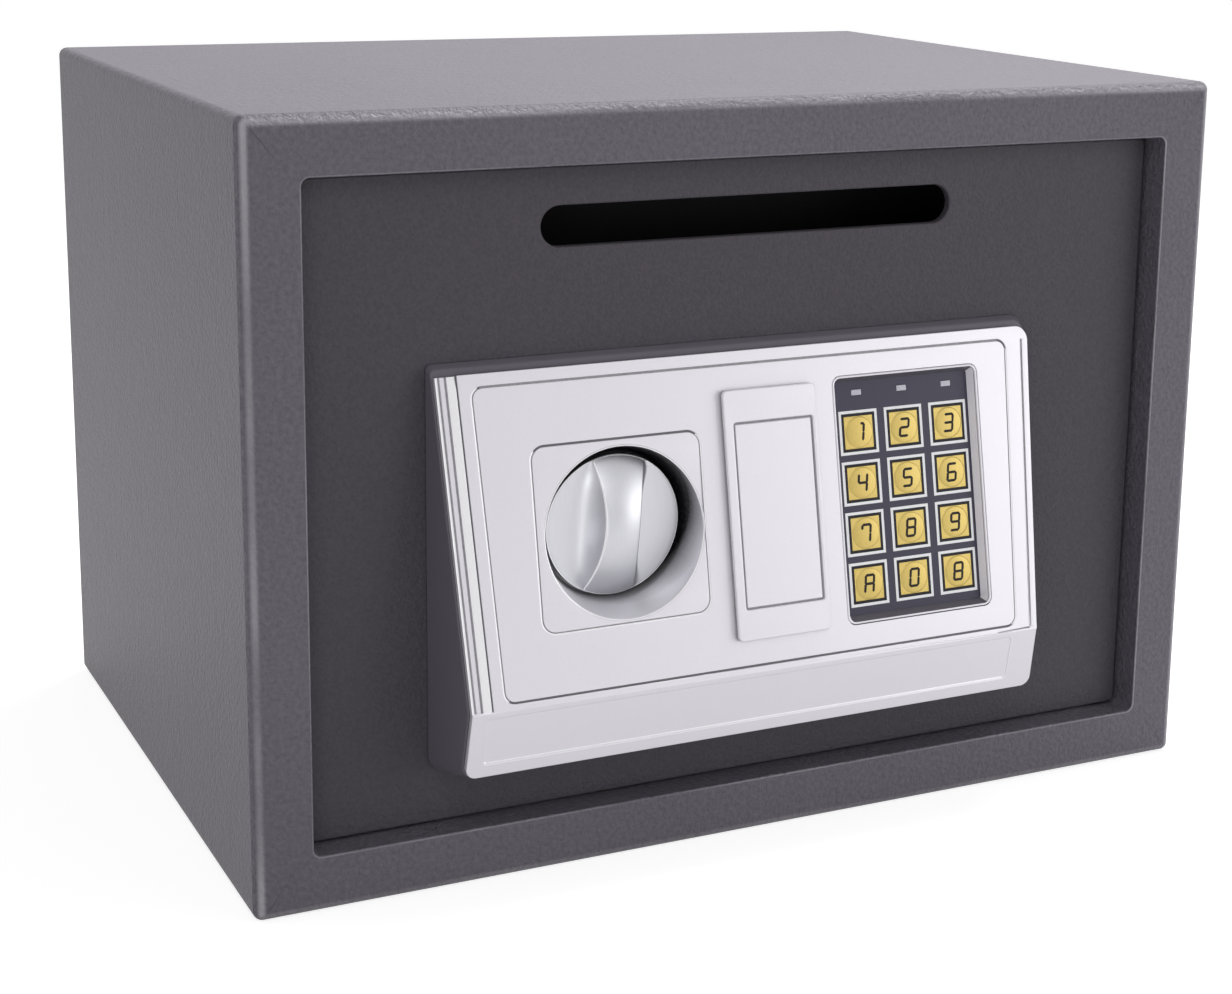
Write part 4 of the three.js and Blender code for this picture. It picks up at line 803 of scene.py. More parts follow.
# The stepped band down the left side: distance from the rim, depth, and the finish of the stretch that follows,
# where the bright stretches are a painted highlight and the grey and groove ones painted shade
leftBand = ((0.0, 2.1, silver), (0.0, 0.85, silver), (0.12, 0.50, paintedLight), (0.35, 0.36, paintedLight),
            (0.80, 0.36, silver), (0.92, 0.55, silver), (1.0, 1.10, greyShade), (1.65, 1.10, silver),
            (1.75, 0.85, silver), (2.0, 0.66, silver), (3.05, 0.62, silver), (3.15, 0.95, greyShade),
            (3.75, 0.95, silver), (3.9, 0.46, paintedLight), (4.2, 0.30, paintedLight), (6.4, 0.20, paintedLight),
            (6.62, 0.30, silver), (6.68, 0.70, grooveShade), (7.2, 0.70, silver), (7.2, 2.1, silver))
bowl = dict(x=-54.4, down=54.5, mouth=27.4, floor=24.4, floorAt=-2.3, wall=1.8, lip=0.55, hole=7.1,
            knobZ=114.15, steps=120)


def faceSide(hand, down, inset=0.0):
    # The x of the face's left or right rim at a distance down the slope
    return wallX(hand, -(topEdge + faceDown * down).x, inset)


def chinSide(hand, down):
    return wallX(hand, -(bendEdge + chinDown * down).x)


def moved(shape, inset):
    return lambda more=0.0: shape(inset + more)


def addGrooveFloor(bm, shape, keep, floor, place=onFace, span=(-0.06, 0.78)):
    # Part of a groove filled to a profile across it, from its outer edge to its inner one
    pairs = list(zip(shape(span[0]), shape(span[1])))
    kept = [keep(*outer) for outer, inner in pairs]
    first = next(i for i in range(len(pairs)) if kept[i] and not kept[i - 1])
    run = []
    while kept[(first + len(run)) % len(pairs)]:
        run.append(pairs[(first + len(run)) % len(pairs)])
    low, deep = face["grooveDepth"] + 0.03, face["skin"]
    rings = []
    for i, (outer, inner) in enumerate(run):
        ring = []
        for share, depth in floor["profile"]:
            at = Vector(outer).lerp(Vector(inner), share)
            ring.append(place(at.x, low if i in (0, len(run) - 1) else depth, at.y))
        rings.append(ring + [place(inner[0], deep, inner[1]), place(outer[0], deep, outer[1])])
    addRings(bm, rings, material=[*floor["shades"], silver, silver, silver])


def addLands(bm):
    # The sheet behind the grooves, painted dark as their shade, the land round the border groove, the field, the
    # pad and the window's lip
    end, corner, bandEnd = faceLength, panel["radius"], leftBand[-1][0]
    skin, groove, edge, lip = face["skin"], face["groove"], face["edge"], face["lip"]
    hidden = bandEnd - 0.2
    whole = roundedShape([(faceSide(-1, end, hidden), -end), (faceSide(1, end), -end), (faceSide(1, 0), 0),
                          (faceSide(-1, 0, hidden), 0)], [0.02, 0.02, corner, 0.3], 8)
    border = roundedShape(face["border"], face["borderRadius"], 8)
    pad = rectShape(*face["pad"], face["padRadius"], 8)
    window = rectShape(*face["window"], face["windowRadius"], 8)
    lockHole = circleShape(*face["lock"], 64)
    bowlHole = circleShape(bowl["x"], -bowl["down"], bowl["mouth"] + bowl["lip"] + 0.02, bowl["steps"])
    tabs = [centredShape(*place, *face["tabSize"], 0.4, 3) for place in face["tabs"]]
    addSlab(bm, moved(whole, 0.15), [window, lockHole, bowlHole] + tabs,
            [(0, face["grooveDepth"]), (0, panel["faceThickness"])], onFace, material=grooveShade)
    land = roundedShape([(faceSide(-1, end, bandEnd), -end - 0.2), (faceSide(1, end), -end - 0.2),
                         (faceSide(1, 0), 0), (faceSide(-1, 0, bandEnd), 0)], [0.02, 0.02, corner, 0.3], 8)
    # the groove down the right rim runs out along the bend
    rim, start, stop = face["rightRim"], face["rimStart"], end - 0.55
    tail, lower = faceSide(1, stop, 16.0), stop - 0.55
    rimGroove = roundedShape([(tail, -stop), (faceSide(1, stop, rim), -stop), (faceSide(1, start, rim), -start),
                              (faceSide(1, start, rim + groove), -start),
                              (faceSide(1, lower, rim + groove), -lower), (tail, -stop + 0.12)],
                             [0.03, 1.3, 0.3, 0.3, 0.5, 0.03], 6)
    addSlab(bm, land, [border, rimGroove], eased(edge, skin), onFace)
    # its floor is painted grey as the groove's shade
    addSlab(bm, moved(rimGroove, -0.02), [], [(0, face["rimSunk"]), (0, skin)], onFace, material=greyShade)
    addSlab(bm, moved(border, groove), [pad, moved(window, -lip), lockHole] + tabs, eased(edge, skin), onFace)
    padEdge = [(edge, 0), (edge * 0.3, edge * 0.3), (0, edge), (0, skin)]
    addSlab(bm, moved(pad, groove), [bowlHole], padEdge, onFace)
    lipEdge = [(0.42, 0.0), (0.14, 0.10), (0, 0.35), (0, skin)]
    addSlab(bm, moved(window, -lip + 0.12), [window], lipEdge, onFace)
    addSlab(bm, moved(window, -face["windowWall"]), [moved(window, -0.01)],
            [(0, skin), (-face["windowDraft"], face["windowDepth"])], onFace)
    # light and shade in the grooves, from floors at different depths and from painted highlight and painted
    # shade
    addGrooveFloor(bm, pad, lambda x, z: z < face["pad"][3] - 1.3, litFloor)
    addGrooveFloor(bm, border, lambda x, z: -103.2 < z < -4.1 and x < 0, litFloor)
    addGrooveFloor(bm, border, lambda x, z: -103.2 < z < -6.6 and x > 0, litFloor)
    addGrooveFloor(bm, border, lambda x, z: z > -4.0 and x < 93, greyFloor)


def addLeftBand(bm):
    # Its widest step starts with a slope at the top end
    rings = []
    for down, start in ((0.3, 1.0), (0.6, 1.0), (3.8, 0.0), (faceLength, 0.0)):
        ring = []
        for inset, depth, _ in leftBand:
            sunk = max(depth, 0.9) if 3.9 < inset < 6.65 else depth
            slant = min(max((inset - 3.9) / 2.6, 0.0), 1.0) * 3.0
            at = down - (2.6 - slant) * 0.8 if down == 3.8 and 3.8 < inset < 6.66 else down
            ring.append(onFace(faceSide(-1, at, inset + 0.05), sunk * start + depth * (1 - start), -at))
        rings.append(ring)
    addRings(bm, rings, material=[shade for _, _, shade in leftBand])


def addChin(bm):
    low, skin, radius = chinLength, face["skin"], face["chinRadius"]
    outline = roundedShape([(chinSide(-1, low), -low), (chinSide(1, low), -low), (chinSide(1, 0), 0.45),
                            (chinSide(-1, 0), 0.45)], [radius, radius, 0.02, 0.02], 8)
    inset = rectShape(*face["chinInset"], 1.2, 5)
    addSlab(bm, moved(outline, 0.15), [], [(0, face["grooveDepth"]), (0, panel["faceThickness"])], onChin,
            material=chinBack)
    addSlab(bm, outline, [inset], [(0.5, 0), (0.29, 0.06), (0.1, 0.22), (0, 0.5), (0, skin)], onChin)
    addSlab(bm, moved(inset, -0.04), [], [(0, face["chinSink"]), (0, skin)], onChin)
    # a painted highlight along the inset's lower and right edges
    addGrooveFloor(bm, inset, lambda x, z: z < -16.6 or x > 88.0, stepFloor, onChin, (-0.62, 0.2))


def addBowl(bm):
    # A round mouth in the tilted face runs into a round foot on the upright door
    centreX, down, knobZ = bowl["x"], bowl["down"], bowl["knobZ"]
    angles = [2 * math.pi * i / bowl["steps"] for i in range(bowl["steps"])]

    def mouth(radius, depth):
        return [onFace(centreX + radius * math.cos(a), depth, -down + radius * math.sin(a)) for a in angles]

    def foot(radius, y):
        return [straight(centreX + radius * math.cos(a), y, knobZ + radius * math.sin(a)) for a in angles]
    lip, wall, floorAt = bowl["lip"], bowl["wall"], bowl["floorAt"]
    upper, lower = mouth(bowl["mouth"], 0.5), foot(bowl["floor"], floorAt - 1.0)
    rings = [mouth(bowl["mouth"] + lip, 0.0), mouth(bowl["mouth"] + lip * 0.35, 0.12), upper]
    rings += [[p.lerp(q, share / 6) for p, q in zip(upper, lower)] for share in range(1, 7)]
    rings += [foot(bowl["floor"] - 0.3, floorAt - 0.3), foot(bowl["floor"] - 1.0, floorAt),
              foot(bowl["hole"], floorAt), foot(bowl["hole"], floorAt + wall),
              foot(bowl["floor"] + wall, floorAt + wall), mouth(bowl["mouth"] + wall, 1.2),
              mouth(bowl["mouth"] + lip, 0.9)]
    made = addRings(bm, rings, closed=True, material=shadedBowl)
    # the lip round the mouth carries a painted highlight
    lipVerts = set(made[0] + made[1])
    for part in {part for vert in made[0] for part in vert.link_faces}:
        if all(vert in lipVerts for vert in part.verts):
            part.material_index = paintedLight


def buildPanelFace():
    bm = bmesh.new()
    addLands(bm)
    addLeftBand(bm)
    addChin(bm)
    addBowl(bm)
    bm.normal_update()
    bmesh.ops.recalc_face_normals(bm, faces=bm.faces)
    left, right, bottom, top = face["window"]
    low, high = onFace(0, 2.0, bottom).z - mm, onFace(0, 2.0, top).z + mm
    for part in bm.faces:
        # the window's upper and lower walls get a painted shade of their own
        centre = part.calc_center_median()
        inWindow = left < centre.x / mm < right and low < centre.z < high
        if inWindow and abs(part.normal.z) > 0.55 and abs(part.normal.x) < 0.5:
            part.material_index = paintedWindowShade
    finishPiece("panelFace", bm, faceFinishes, "door", ["panel_face"], smooth=28)


buildPanelFace()
print("lock panel built")


knob = dict(x=-54.4, z=114.15, radius=23.4, back=-3.1, rim=-6.8, chamfer=0.45, height=9.2, endShare=0.03,
            halfEnd=9.6, halfWaist=6.1, scoops=(10.0, 3.6), fillet=2.8, dish=0.3, crown=0.5, edge=0.5,
            round=0.45, turn=4.2, rows=96, flankColumns=22, topColumns=16, spacing=1.9, bevel=0.35,
            glintShare=0.39)


def gripHalf(along):
    # Half the grip's width, narrowest at its waist
    share = along / knob["radius"]
    return knob["halfWaist"] + (knob["halfEnd"] - knob["halfWaist"]) * share * share


def knobSurface(across, along):
    # How far the knob stands out, across and along its grip, from the scooped flanks to the crest
    half = gripHalf(along)
    side = abs(across)
    reach = min(math.hypot(along, min(side, half)) / (knob["radius"] - knob["chamfer"]), 1.0)
    crest = knob["height"] * (1 - reach * reach * (1 - knob["endShare"]))
    if side <= half:
        # a crowned top with a narrow bright edge on each side
        drop = max(side - half + knob["edge"], 0.0) / knob["edge"]
        lower = knob["crown"] * (side / half) ** 2 + knob["round"] * drop * drop
        return crest - lower * crest / knob["height"]
    chord = math.sqrt(max(knob["radius"] ** 2 - along ** 2, 0.0))
    top = crest - (knob["crown"] + knob["round"]) * crest / knob["height"]
    span = max(chord - half, 0.05)
    scoop = knob["scoops"][0 if across < 0 else 1]
    share = min((side - half) * (scoop ** -4 + span ** -4) ** 0.25, 1.0)
    rise = top * (1 - share) ** knob["fillet"]
    sink = knob["dish"] * math.sin(math.pi * min((side - half) / span, 1.0)) * (top / knob["height"])
    return max(rise - sink, -0.9)


def knobLine(row):
    # The points across the knob at one row along its grip, closer together near the grip's edges
    radius, flank, top = knob["radius"] - knob["chamfer"], knob["flankColumns"], knob["topColumns"]
    cosine, sine = math.cos(math.radians(knob["turn"])), math.sin(math.radians(knob["turn"]))
    along = radius * math.sin(math.pi * row / knob["rows"] - math.pi / 2) * 0.998
    chord = math.sqrt(radius ** 2 - along ** 2)
    half = min(gripHalf(along), chord * 0.985)
    inner = half - min(knob["edge"], half / 3)
    slope = [half + (chord - half) * (i / flank) ** knob["spacing"] for i in range(1, flank + 1)]
    places = [-place for place in reversed(slope)] + [-half, -(half + inner) / 2]
    places += [-inner + 2 * inner * i / top for i in range(top + 1)] + [(half + inner) / 2, half] + slope
    return [straight(knob["x"] + place * cosine + along * sine, knob["rim"] - knobSurface(place, along),
                     knob["z"] + along * cosine - place * sine) for place in places]


def buildKnob():
    rows, flank, radius = knob["rows"], knob["flankColumns"], knob["radius"] - knob["chamfer"]
    bm = bmesh.new()
    verts = [[bm.verts.new(point) for point in knobLine(row)] for row in range(rows + 1)]
    for row, (lower, upper) in enumerate(zip(verts, verts[1:])):
        for i in range(len(lower) - 1):
            patch = bm.faces.new((lower[i], lower[i + 1], upper[i + 1], upper[i]))
            # a painted highlight line down the left of the crest
            paintedGlint = i in (flank, flank + 1) and abs(row - rows / 2) < rows * knob["glintShare"]
            patch.material_index = 1 if paintedGlint else 0
    rim = verts[0] + [line[-1] for line in verts[1:-1]] + verts[-1][::-1] + [line[0] for line in verts[-2:0:-1]]
    previous, chamfer = rim, knob["chamfer"]
    # the narrow ring at the disc's rim carries the same painted highlight
    for grow, y, material in ((knob["bevel"], knob["rim"] + 0.15, 1), (chamfer, knob["rim"] + chamfer, 0),
                              (chamfer, knob["back"] - 0.3, 0), (chamfer - 0.3, knob["back"], 0)):
        ring = []
        for vert in rim:
            flat = Vector((vert.co.x / mm - knob["x"], vert.co.z / mm - knob["z"]))
            out = flat.normalized() * (radius + grow)
            ring.append(bm.verts.new(straight(knob["x"] + out.x, y, knob["z"] + out.y)))
        bridge(bm, previous, ring, material)
        previous = ring
    capLoops(bm, [previous])
    finishPiece("knob", bm, ["satinChrome", "edgeLight"], "knob", ["knob"], smooth=33)


buildKnob()
for node in ("knob_shaft", "shaft_bush", "shaft_crank"):
    machined(node, 0.25)
print("knob built")


keyCover = dict(x=-0.7, down=53.5, width=34.2, height=82.0, radius=1.8, back=-0.3, front=-2.5,
                inset=(-14.5, 14.8, -84.4, -23.2), insetDepth=0.45, groove=0.66, tabSize=(9.0, 1.4), tabEnd=3.6,
                tabRoot=0.4)


def buildKeyCover():
    outline = centredShape(keyCover["x"], -keyCover["down"], keyCover["width"], keyCover["height"],
                           keyCover["radius"], 8)
    recess = rectShape(*keyCover["inset"], 1.0, 6)
    front, back, root = keyCover["front"], keyCover["back"], keyCover["tabRoot"]
    bm = bmesh.new()
    addSlab(bm, outline, [recess], eased(0.5, 1.2, 0.0, 4), onFace, base=front)
    # the core behind the recess groove is painted grey as the groove's shade
    addSlab(bm, moved(outline, 0.05), [], [(0, 1.0), (0, back - front)], onFace, base=front, material=1)
    addSlab(bm, moved(recess, keyCover["groove"]), [], eased(0.3, 0.8), onFace,
            base=front + keyCover["insetDepth"])
    for place in face["tabs"]:
        tab = centredShape(*place, *keyCover["tabSize"], 0.3, 3)
        addSlab(bm, tab, [], eased(0.25, keyCover["tabEnd"] - back + root, 0.3), onFace, base=back - root)
    finishPiece("keyCover", bm, ["silverPaint", "bandShade"], "key_cover", ["key_cover"])


buildKeyCover()
for node, width in (("lock_cylinder", 0.5), ("lock_plug", 0.3), ("lock_nut", 0.4)):
    machined(node, width)


keypad = dict(x=52.8, down=53.1, width=59.2, height=85.4, front=3.4, thickness=1.0,
              columns=(-17.65, 0.0, 17.65), rows=(31.0, 48.05, 65.1, 82.15),
              lensDown=17.6, lensSize=(3.8, 1.9), lensGap=0.15,
              keySize=(12.0, 11.8), keyGap=0.3, keyFront=2.9, keyBack=4.95, keyCorner=0.9, capInset=0.30,
              capDepth=0.12, dome=0.40, domeRadius=5.35, flange=0.7, flangeDepths=(4.7, 5.2),
              frameSize=14.8, frameStroke=0.94, lineStroke=0.98, framePrint=0.1)
keyLabels = ("1", "2", "3", "4", "5", "6", "7", "8", "9", "a", "0", "b")
keySlots = ["goldPrint", "darkPrint"]


def keyCentre(number):
    return keypad["x"] + keypad["columns"][number % 3], -keypad["rows"][number // 3]


def grownBy(size, gap):
    return [side + 2 * gap for side in size]


def buildKeypadPlate():
    outline = centredShape(keypad["x"], -keypad["down"], keypad["width"], keypad["height"], 0.5, 3)
    keyHole = grownBy(keypad["keySize"], keypad["keyGap"])
    lensHole = grownBy(keypad["lensSize"], keypad["lensGap"])
    holes = [centredShape(*keyCentre(number), *keyHole, 0.9, 4) for number in range(12)]
    holes += [centredShape(keypad["x"] + column, -keypad["lensDown"], *lensHole, 0.3, 3)
              for column in keypad["columns"]]
    bm = bmesh.new()
    addSlab(bm, outline, holes, [(0, 0), (0, keypad["thickness"])], onFace, base=keypad["front"])
    prints = grown(keyFrameTree())
    order = [material.name if material else "" for material in prints.materials]
    for polygon in prints.polygons:
        polygon.material_index = 1 if order[polygon.material_index] == "whitePrint" else 2
    middle = onFace(keypad["x"], keypad["front"], -(keypad["rows"][0] + keypad["rows"][3]) / 2)
    standMesh(prints, (1, 0, 0), (0, -faceDown.x, -faceDown.y), (0, -faceIn.x, -faceIn.y), middle)
    bm.from_mesh(prints)
    plateFinishes = ["navyFilm", "whitePrint", "blackPrint"]
    finishPiece("keypadPlate", bm, plateFinishes, "door", ["keypad_plate"])


def flatFrame(tree, outerSize, innerSize, thickness, material):
    # A flat closed frame between two squares
    squares = [addNode(tree, "GeometryNodeCurvePrimitiveQuadrilateral", {"Width": size, "Height": size})
               for size in (outerSize, innerSize)]
    outlines = joined(tree, *(square.outputs["Curve"] for square in squares))
    filled = addNode(tree, "GeometryNodeFillCurve", {"Curve": outlines}).outputs[0]
    raised = addNode(tree, "GeometryNodeExtrudeMesh", {
        "Mesh": filled, "Offset Scale": thickness, "Individual": False})
    turned = addNode(tree, "GeometryNodeFlipFaces", {"Mesh": filled})
    closed = joined(tree, raised.outputs["Mesh"], turned.outputs[0])
    merged = addNode(tree, "GeometryNodeMergeByDistance", {"Geometry": closed, "Distance": 1e-6})
    return painted(tree, merged.outputs[0], material)


def keyFrameTree():
    # A light frame and a dark line inside it, once for each key of the three by four block
    tree, given, result = startGeometry("keyFrames", {
        "Column Pitch": keypad["columns"][2], "Row Pitch": keypad["rows"][1] - keypad["rows"][0],
        "Frame Size": keypad["frameSize"], "Frame Stroke": keypad["frameStroke"],
        "Line Stroke": keypad["lineStroke"], "Thickness": keypad["framePrint"]})
    size, thickness = given["Frame Size"], given["Thickness"]
    middle = minus(tree, size, times(tree, given["Frame Stroke"], 2.0))
    inner = minus(tree, middle, times(tree, given["Line Stroke"], 2.0))
    pair = joined(tree, flatFrame(tree, size, middle, thickness, "whitePrint"),
                  flatFrame(tree, middle, inner, thickness, "blackPrint"))
    block = addNode(tree, "GeometryNodeMeshGrid", {
        "Vertices X": 3, "Vertices Y": 4, "Size X": times(tree, given["Column Pitch"], 2.0),
        "Size Y": times(tree, given["Row Pitch"], 3.0)})
    wire(tree, [(repeated(tree, block.outputs["Mesh"], pair), result[0])])
    return tree


buildKeypadPlate()

# Which bars of a seven-bar figure are lit: top, right of it, below that, foot, left foot, left top, middle
figureBars = {"0": "abcdef", "1": "Abc", "2": "abged", "3": "abgcd", "4": "fgbc", "5": "afgcd", "6": "afgedc",
              "7": "Fabc", "8": "abcdefg", "9": "abcdfg", "a": "abcefg", "b": "abcdefg"}
figure = dict(width=3.2, height=5.7, stroke=0.90, lean=0.12, proud=0.04, root=0.05, gap=0.30, hook=0.2,
              tail=0.45)


def figureLines(label):
    wide, tall, gap = figure["width"] / 2, figure["height"] / 2, figure["gap"]
    ends = {"a": ((-wide, tall), (wide, tall)), "b": ((wide, tall), (wide, 0)),
            "c": ((wide, 0), (wide, -tall)), "d": ((-wide, -tall), (wide, -tall)),
            "e": ((-wide, -tall), (-wide, 0)), "f": ((-wide, 0), (-wide, tall)), "g": ((-wide, 0), (wide, 0)),
            "A": ((wide * figure["hook"], tall), (wide, tall)),
            "F": ((-wide, tall * figure["tail"]), (-wide, tall))}
    for bar in figureBars[label]:
        start, end = (Vector(p) for p in ends[bar])
        along = (end - start).normalized()
        start, end = start + along * gap, end - along * gap
        yield start, end, Vector((-along.y, along.x)) * figure["stroke"] / 2, along * figure["stroke"] / 2


def domeDepth(radius):
    # The key's dished front: a gentle bowl with a step at its rim
    share = min(radius / keypad["domeRadius"], 1.0)
    rim = 0.40 * max(share - 0.93, 0.0) / 0.07
    return keypad["keyFront"] + keypad["dome"] * (0.04 + 0.52 * share ** 2.2 + rim)


def addFigure(bm, label, x, z):
    for start, end, side, tip in figureLines(label):
        levels = []
        for proud in (figure["proud"], -figure["root"]):
            level = []
            for p in (start + side, start - tip, start - side, end - side, end + tip, end + side):
                leanX = p.x + p.y * figure["lean"]
                level.append(onFace(x + leanX, domeDepth(math.hypot(leanX, p.y)) - proud, z + p.y))
            levels.append(level)
        addRings(bm, levels, material=1)


def buildKey(number, label):
    x, z = keyCentre(number)
    size, front, below = keypad["keySize"], keypad["keyFront"] + keypad["dome"], keypad["capDepth"]
    bm = bmesh.new()
    cap = centredShape(x, z, *grownBy(size, -keypad["capInset"]), 0.4, 5)
    addSlab(bm, cap, [], eased(0.25, 0.3), onFace, base=front)
    stem = centredShape(x, z, *size, keypad["keyCorner"], 5)
    addSlab(bm, stem, [], [(0.15, 0), (0, 0.15), (0, keypad["keyBack"] - front - below)], onFace,
            base=front + below, material=1)
    flange = centredShape(x, z, *grownBy(size, keypad["flange"]), 0.8, 3)
    addSlab(bm, flange, [], [(0, depth) for depth in keypad["flangeDepths"]], onFace)
    rings = []
    for radius in (5.45, 5.35, 5.2, 5.0, 4.9, 4.4, 3.6, 2.7, 1.8, 0.9, 0.25):
        depth = front + 0.1 if radius > 5.4 else domeDepth(radius)
        rings.append([onFace(px, depth, pz) for px, pz in circleShape(x, z, radius, 44)()])
    addRings(bm, rings)
    addFigure(bm, label, x, z)
    node = "key_" + label
    finishPiece(camel(node), bm, keySlots, node, [node])


for number, label in enumerate(keyLabels):
    buildKey(number, label)
for side in ("left", "middle", "right"):
    machined("status_lens_" + side, 0.12)
machined("keypad_board", 0.1)
print("keypad built")


roundedWorks = {"bolt_plate": 0.3, "bolt_upper": 0.35, "bolt_lower": 0.35, "bolt_nut_upper": 0.3,
                "bolt_nut_lower": 0.3, "guide_stud_upper": 0.3, "guide_stud_lower": 0.3, "bolt_guide": 0.3,
                "solenoid_body": 0.5, "solenoid_plunger": 0.3, "mechanism_cover": 0.6, "battery_box": 0.3,
                "reset_switch": 0.3, "reset_button": 0.4, "battery_1": 0.5, "battery_2": 0.5, "battery_3": 0.5,
                "battery_4": 0.5}
for node, width in roundedWorks.items():
    machined(node, width)


lidRibs = dict(count=7, pitch=3.4, length=34, width=1.5, height=0.7, centre=(61, 90), at=35.15)
towardsInside = ((-1, 0, 0), (0, 0, 1), (0, 1, 0))  # for what is laid out flat and faces into the cabinet


def ribTree():
    # Finger ribs: one rounded bar, repeated down a line
    tree, given, result = startGeometry("lidRibs", {
        "Count": lidRibs["count"], "Pitch": lidRibs["pitch"], "Length": lidRibs["length"],
        "Width": lidRibs["width"], "Height": lidRibs["height"]})
    row = addNode(tree, "GeometryNodeMeshLine", {
        "Count": given["Count"], "Offset": combined(tree, y=times(tree, given["Pitch"], -1.0))})
    ends = [combined(tree, times(tree, given["Length"], share)) for share in (-0.5, 0.5)]
    path = addNode(tree, "GeometryNodeCurvePrimitiveLine", {"Start": ends[0], "End": ends[1]})
    section = addNode(tree, "GeometryNodeCurvePrimitiveQuadrilateral", {
        "Width": given["Width"], "Height": times(tree, given["Height"], 2.0)})
    corner = times(tree, given["Height"], 0.8)
    soft = addNode(tree, "GeometryNodeFilletCurve", {
        "Curve": section.outputs["Curve"], "Count": 4, "Radius": corner}, mode="POLY")
    bar = addNode(tree, "GeometryNodeCurveToMesh", {
        "Curve": path.outputs["Curve"], "Profile Curve": soft.outputs[0], "Fill Caps": True})
    ribs = repeated(tree, row.outputs["Mesh"], bar.outputs["Mesh"])
    wire(tree, [(painted(tree, ribs, "blackPlastic"), result[0])])
    return tree


def buildLid():
    ribs = grown(ribTree())
    x, z = lidRibs["centre"]
    standMesh(ribs, *towardsInside, straight(x, lidRibs["at"], z))
    machined("battery_lid", 0.5, extras=[ribs])


buildLid()


coverScrew = dict(centre=(-14, 106), spread=(218, 152), seatAt=4.8, head=3.5, height=2.2, recess=3.6,
                  recessWidth=0.8, recessDepth=1.3, shank=1.75, shankLength=3.5, segments=40, rings=24,
                  shankSides=20, blank=20, turnMost=1.5, seed=4)


def screwTree():
    # Pan heads with a cross recess, and their shanks, on the four corners of the cover
    tree, given, result = startGeometry("coverScrews", {
        "Spread X": coverScrew["spread"][0], "Spread Y": coverScrew["spread"][1],
        "Head Radius": coverScrew["head"], "Head Height": coverScrew["height"],
        "Recess Size": coverScrew["recess"], "Recess Width": coverScrew["recessWidth"],
        "Recess Depth": coverScrew["recessDepth"],
        "Shank Radius": coverScrew["shank"], "Shank Length": coverScrew["shankLength"]})
    blank, segments, rings = coverScrew["blank"] * mm, coverScrew["segments"], coverScrew["rings"]
    head = roundForm(tree, segments, rings, given["Head Radius"], given["Head Height"])
    # a block takes the lower half away, and two bars cut the cross
    block = addNode(tree, "GeometryNodeMeshCube", {"Size": (blank, blank, blank)})
    cutters = [shifted(tree, block.outputs["Mesh"], Translation=(0, 0, -blank / 2))]
    long, narrow, deep = given["Recess Size"], given["Recess Width"], times(tree, given["Recess Depth"], 2.0)
    for x, y in ((long, narrow), (narrow, long)):
        bar = addNode(tree, "GeometryNodeMeshCube", {"Size": combined(tree, x, y, deep)})
        cutters.append(shifted(tree, bar.outputs["Mesh"], Translation=combined(tree, z=given["Head Height"])))
    cut = addNode(tree, "GeometryNodeMeshBoolean", {"Mesh 1": head}, operation="DIFFERENCE")
    wire(tree, [(cutter, cut.inputs["Mesh 2"]) for cutter in cutters])
    shank = addNode(tree, "GeometryNodeMeshCylinder", {
        "Vertices": coverScrew["shankSides"], "Radius": given["Shank Radius"], "Depth": given["Shank Length"]})
    sunk = shifted(tree, shank.outputs["Mesh"],
                   Translation=combined(tree, z=times(tree, given["Shank Length"], -0.5)))
    corners = addNode(tree, "GeometryNodeMeshGrid", {
        "Vertices X": 2, "Vertices Y": 2, "Size X": given["Spread X"], "Size Y": given["Spread Y"]})
    turn = addNode(tree, "FunctionNodeRandomValue", {3: coverScrew["turnMost"], "Seed": coverScrew["seed"]},
                   data_type="FLOAT")
    screws = repeated(tree, corners.outputs["Mesh"], joined(tree, cut.outputs["Mesh"], sunk),
                      Rotation=combined(tree, z=turn.outputs[1]))
    wire(tree, [(painted(tree, screws, "zincSteel"), result[0])])
    return tree


def buildCoverScrews():
    screws = grown(screwTree())
    x, z = coverScrew["centre"]
    standMesh(screws, *towardsInside, straight(x, coverScrew["seatAt"], z))
    screws.materials.clear()
    nodes = ["cover_screw_" + str(number) for number in range(1, 5)]
    settlePiece("coverScrews", screws, ["zincSteel"], "door", nodes)


buildCoverScrews()
print("works behind the door built")


# The stage's places and sizes are in metres, and a lamp's power in watts
studio = dict(worldLevel=0.38, floorSize=6.0, paperColor=(0.48, 0.48, 0.48), paperRough=0.9, paperShine=0.1,
              paperGlow=0.79)
lamps = dict(keyLamp=dict(place=(-0.35, -1.1, 0.95), aim=(0, 0, 0.12), size=0.6, power=2.2),
             rightLamp=dict(place=(1.0, -0.95, 0.25), aim=(0, 0, 0.12), size=0.9, power=5.1),
             leftLamp=dict(place=(-1.6, 0.35, 1.05), aim=(-0.17, 0, 0.14), size=1.1, power=2.2),
             edgeLamp=dict(place=(-1.0, -1.3, 0.1), aim=(-0.1, -0.12, 0.1), size=0.5, power=3.1),
             topLamp=dict(place=(0.45, 0.2, 1.2), aim=(0.05, 0, 0.2), size=0.8, power=16.0))


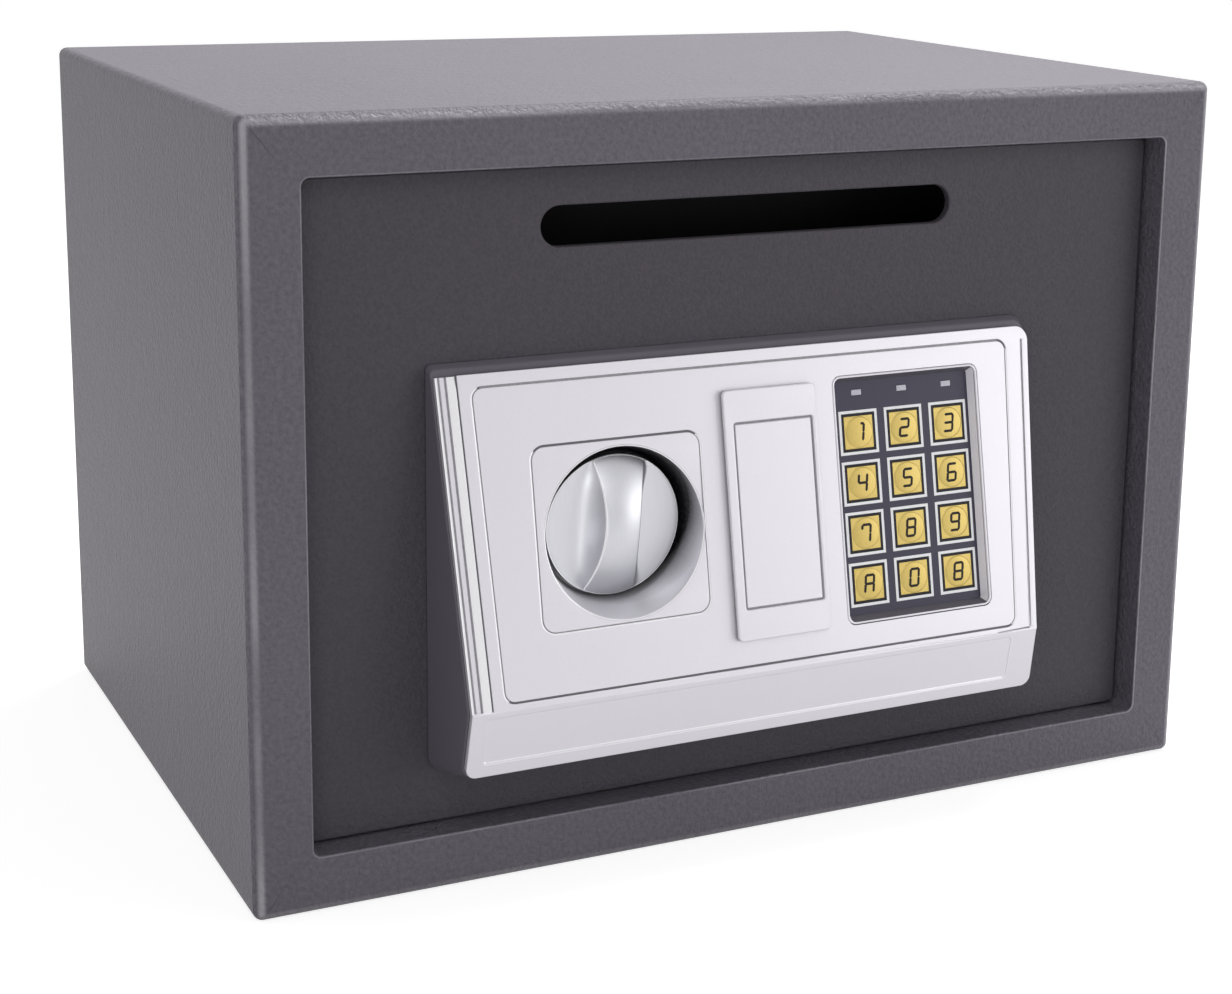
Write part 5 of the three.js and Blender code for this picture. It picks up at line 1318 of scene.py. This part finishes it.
def seenRays(tree):
    # One for what the camera sees straight, in metal or through a lens, and nothing for the object's light
    path = addNode(tree, "ShaderNodeLightPath").outputs
    seen = plus(tree, path["Is Camera Ray"], path["Is Glossy Ray"])
    return plus(tree, seen, path["Is Transmission Ray"], True)


def buildWorld():
    world = bpy.data.worlds.new("studio")
    bpy.context.scene.world = world
    world.use_nodes = True
    tree = world.node_tree
    tree.nodes.clear()
    lit = addNode(tree, "ShaderNodeBackground", {"Color": (1, 1, 1, 1), "Strength": studio["worldLevel"]})
    shown = addNode(tree, "ShaderNodeBackground", {"Color": (1, 1, 1, 1)})
    blend = addNode(tree, "ShaderNodeMixShader", {0: seenRays(tree), 1: lit.outputs[0], 2: shown.outputs[0]})
    addNode(tree, "ShaderNodeOutputWorld", {0: blend.outputs[0]})


def buildLamp(name, place, aim, size, power):
    data = bpy.data.lights.new(name, "AREA")
    data.shape = "DISK"
    data.size = size
    data.energy = power
    lamp = standUp(name, data)
    lamp.location = place
    lamp.rotation_euler = (Vector(aim) - Vector(place)).to_track_quat("-Z", "Y").to_euler()


def buildFloor():
    bm = bmesh.new()
    bmesh.ops.create_grid(bm, x_segments=1, y_segments=1, size=studio["floorSize"])
    mesh = meshFrom("studioFloor", bm, False)
    material = bpy.data.materials.new("studioFloor")
    material.use_nodes = True
    mesh.materials.append(material)
    tree = material.node_tree
    paper = tree.nodes["Principled BSDF"]
    paper.inputs["Base Color"].default_value = (*studio["paperColor"], 1)
    paper.inputs["Roughness"].default_value = studio["paperRough"]
    paper.inputs["Specular IOR Level"].default_value = studio["paperShine"]
    glow = addNode(tree, "ShaderNodeEmission", {"Strength": times(tree, seenRays(tree), studio["paperGlow"])})
    both = addNode(tree, "ShaderNodeAddShader", {0: paper.outputs[0], 1: glow.outputs[0]})
    wire(tree, [(both.outputs[0], tree.nodes["Material Output"].inputs["Surface"])])
    standUp("studioFloor", mesh)


buildWorld()
for lampName, lampSet in lamps.items():
    buildLamp(lampName, **lampSet)
buildFloor()


bpy.context.scene.view_settings.view_transform = "Standard"
bpy.context.view_layer.update()
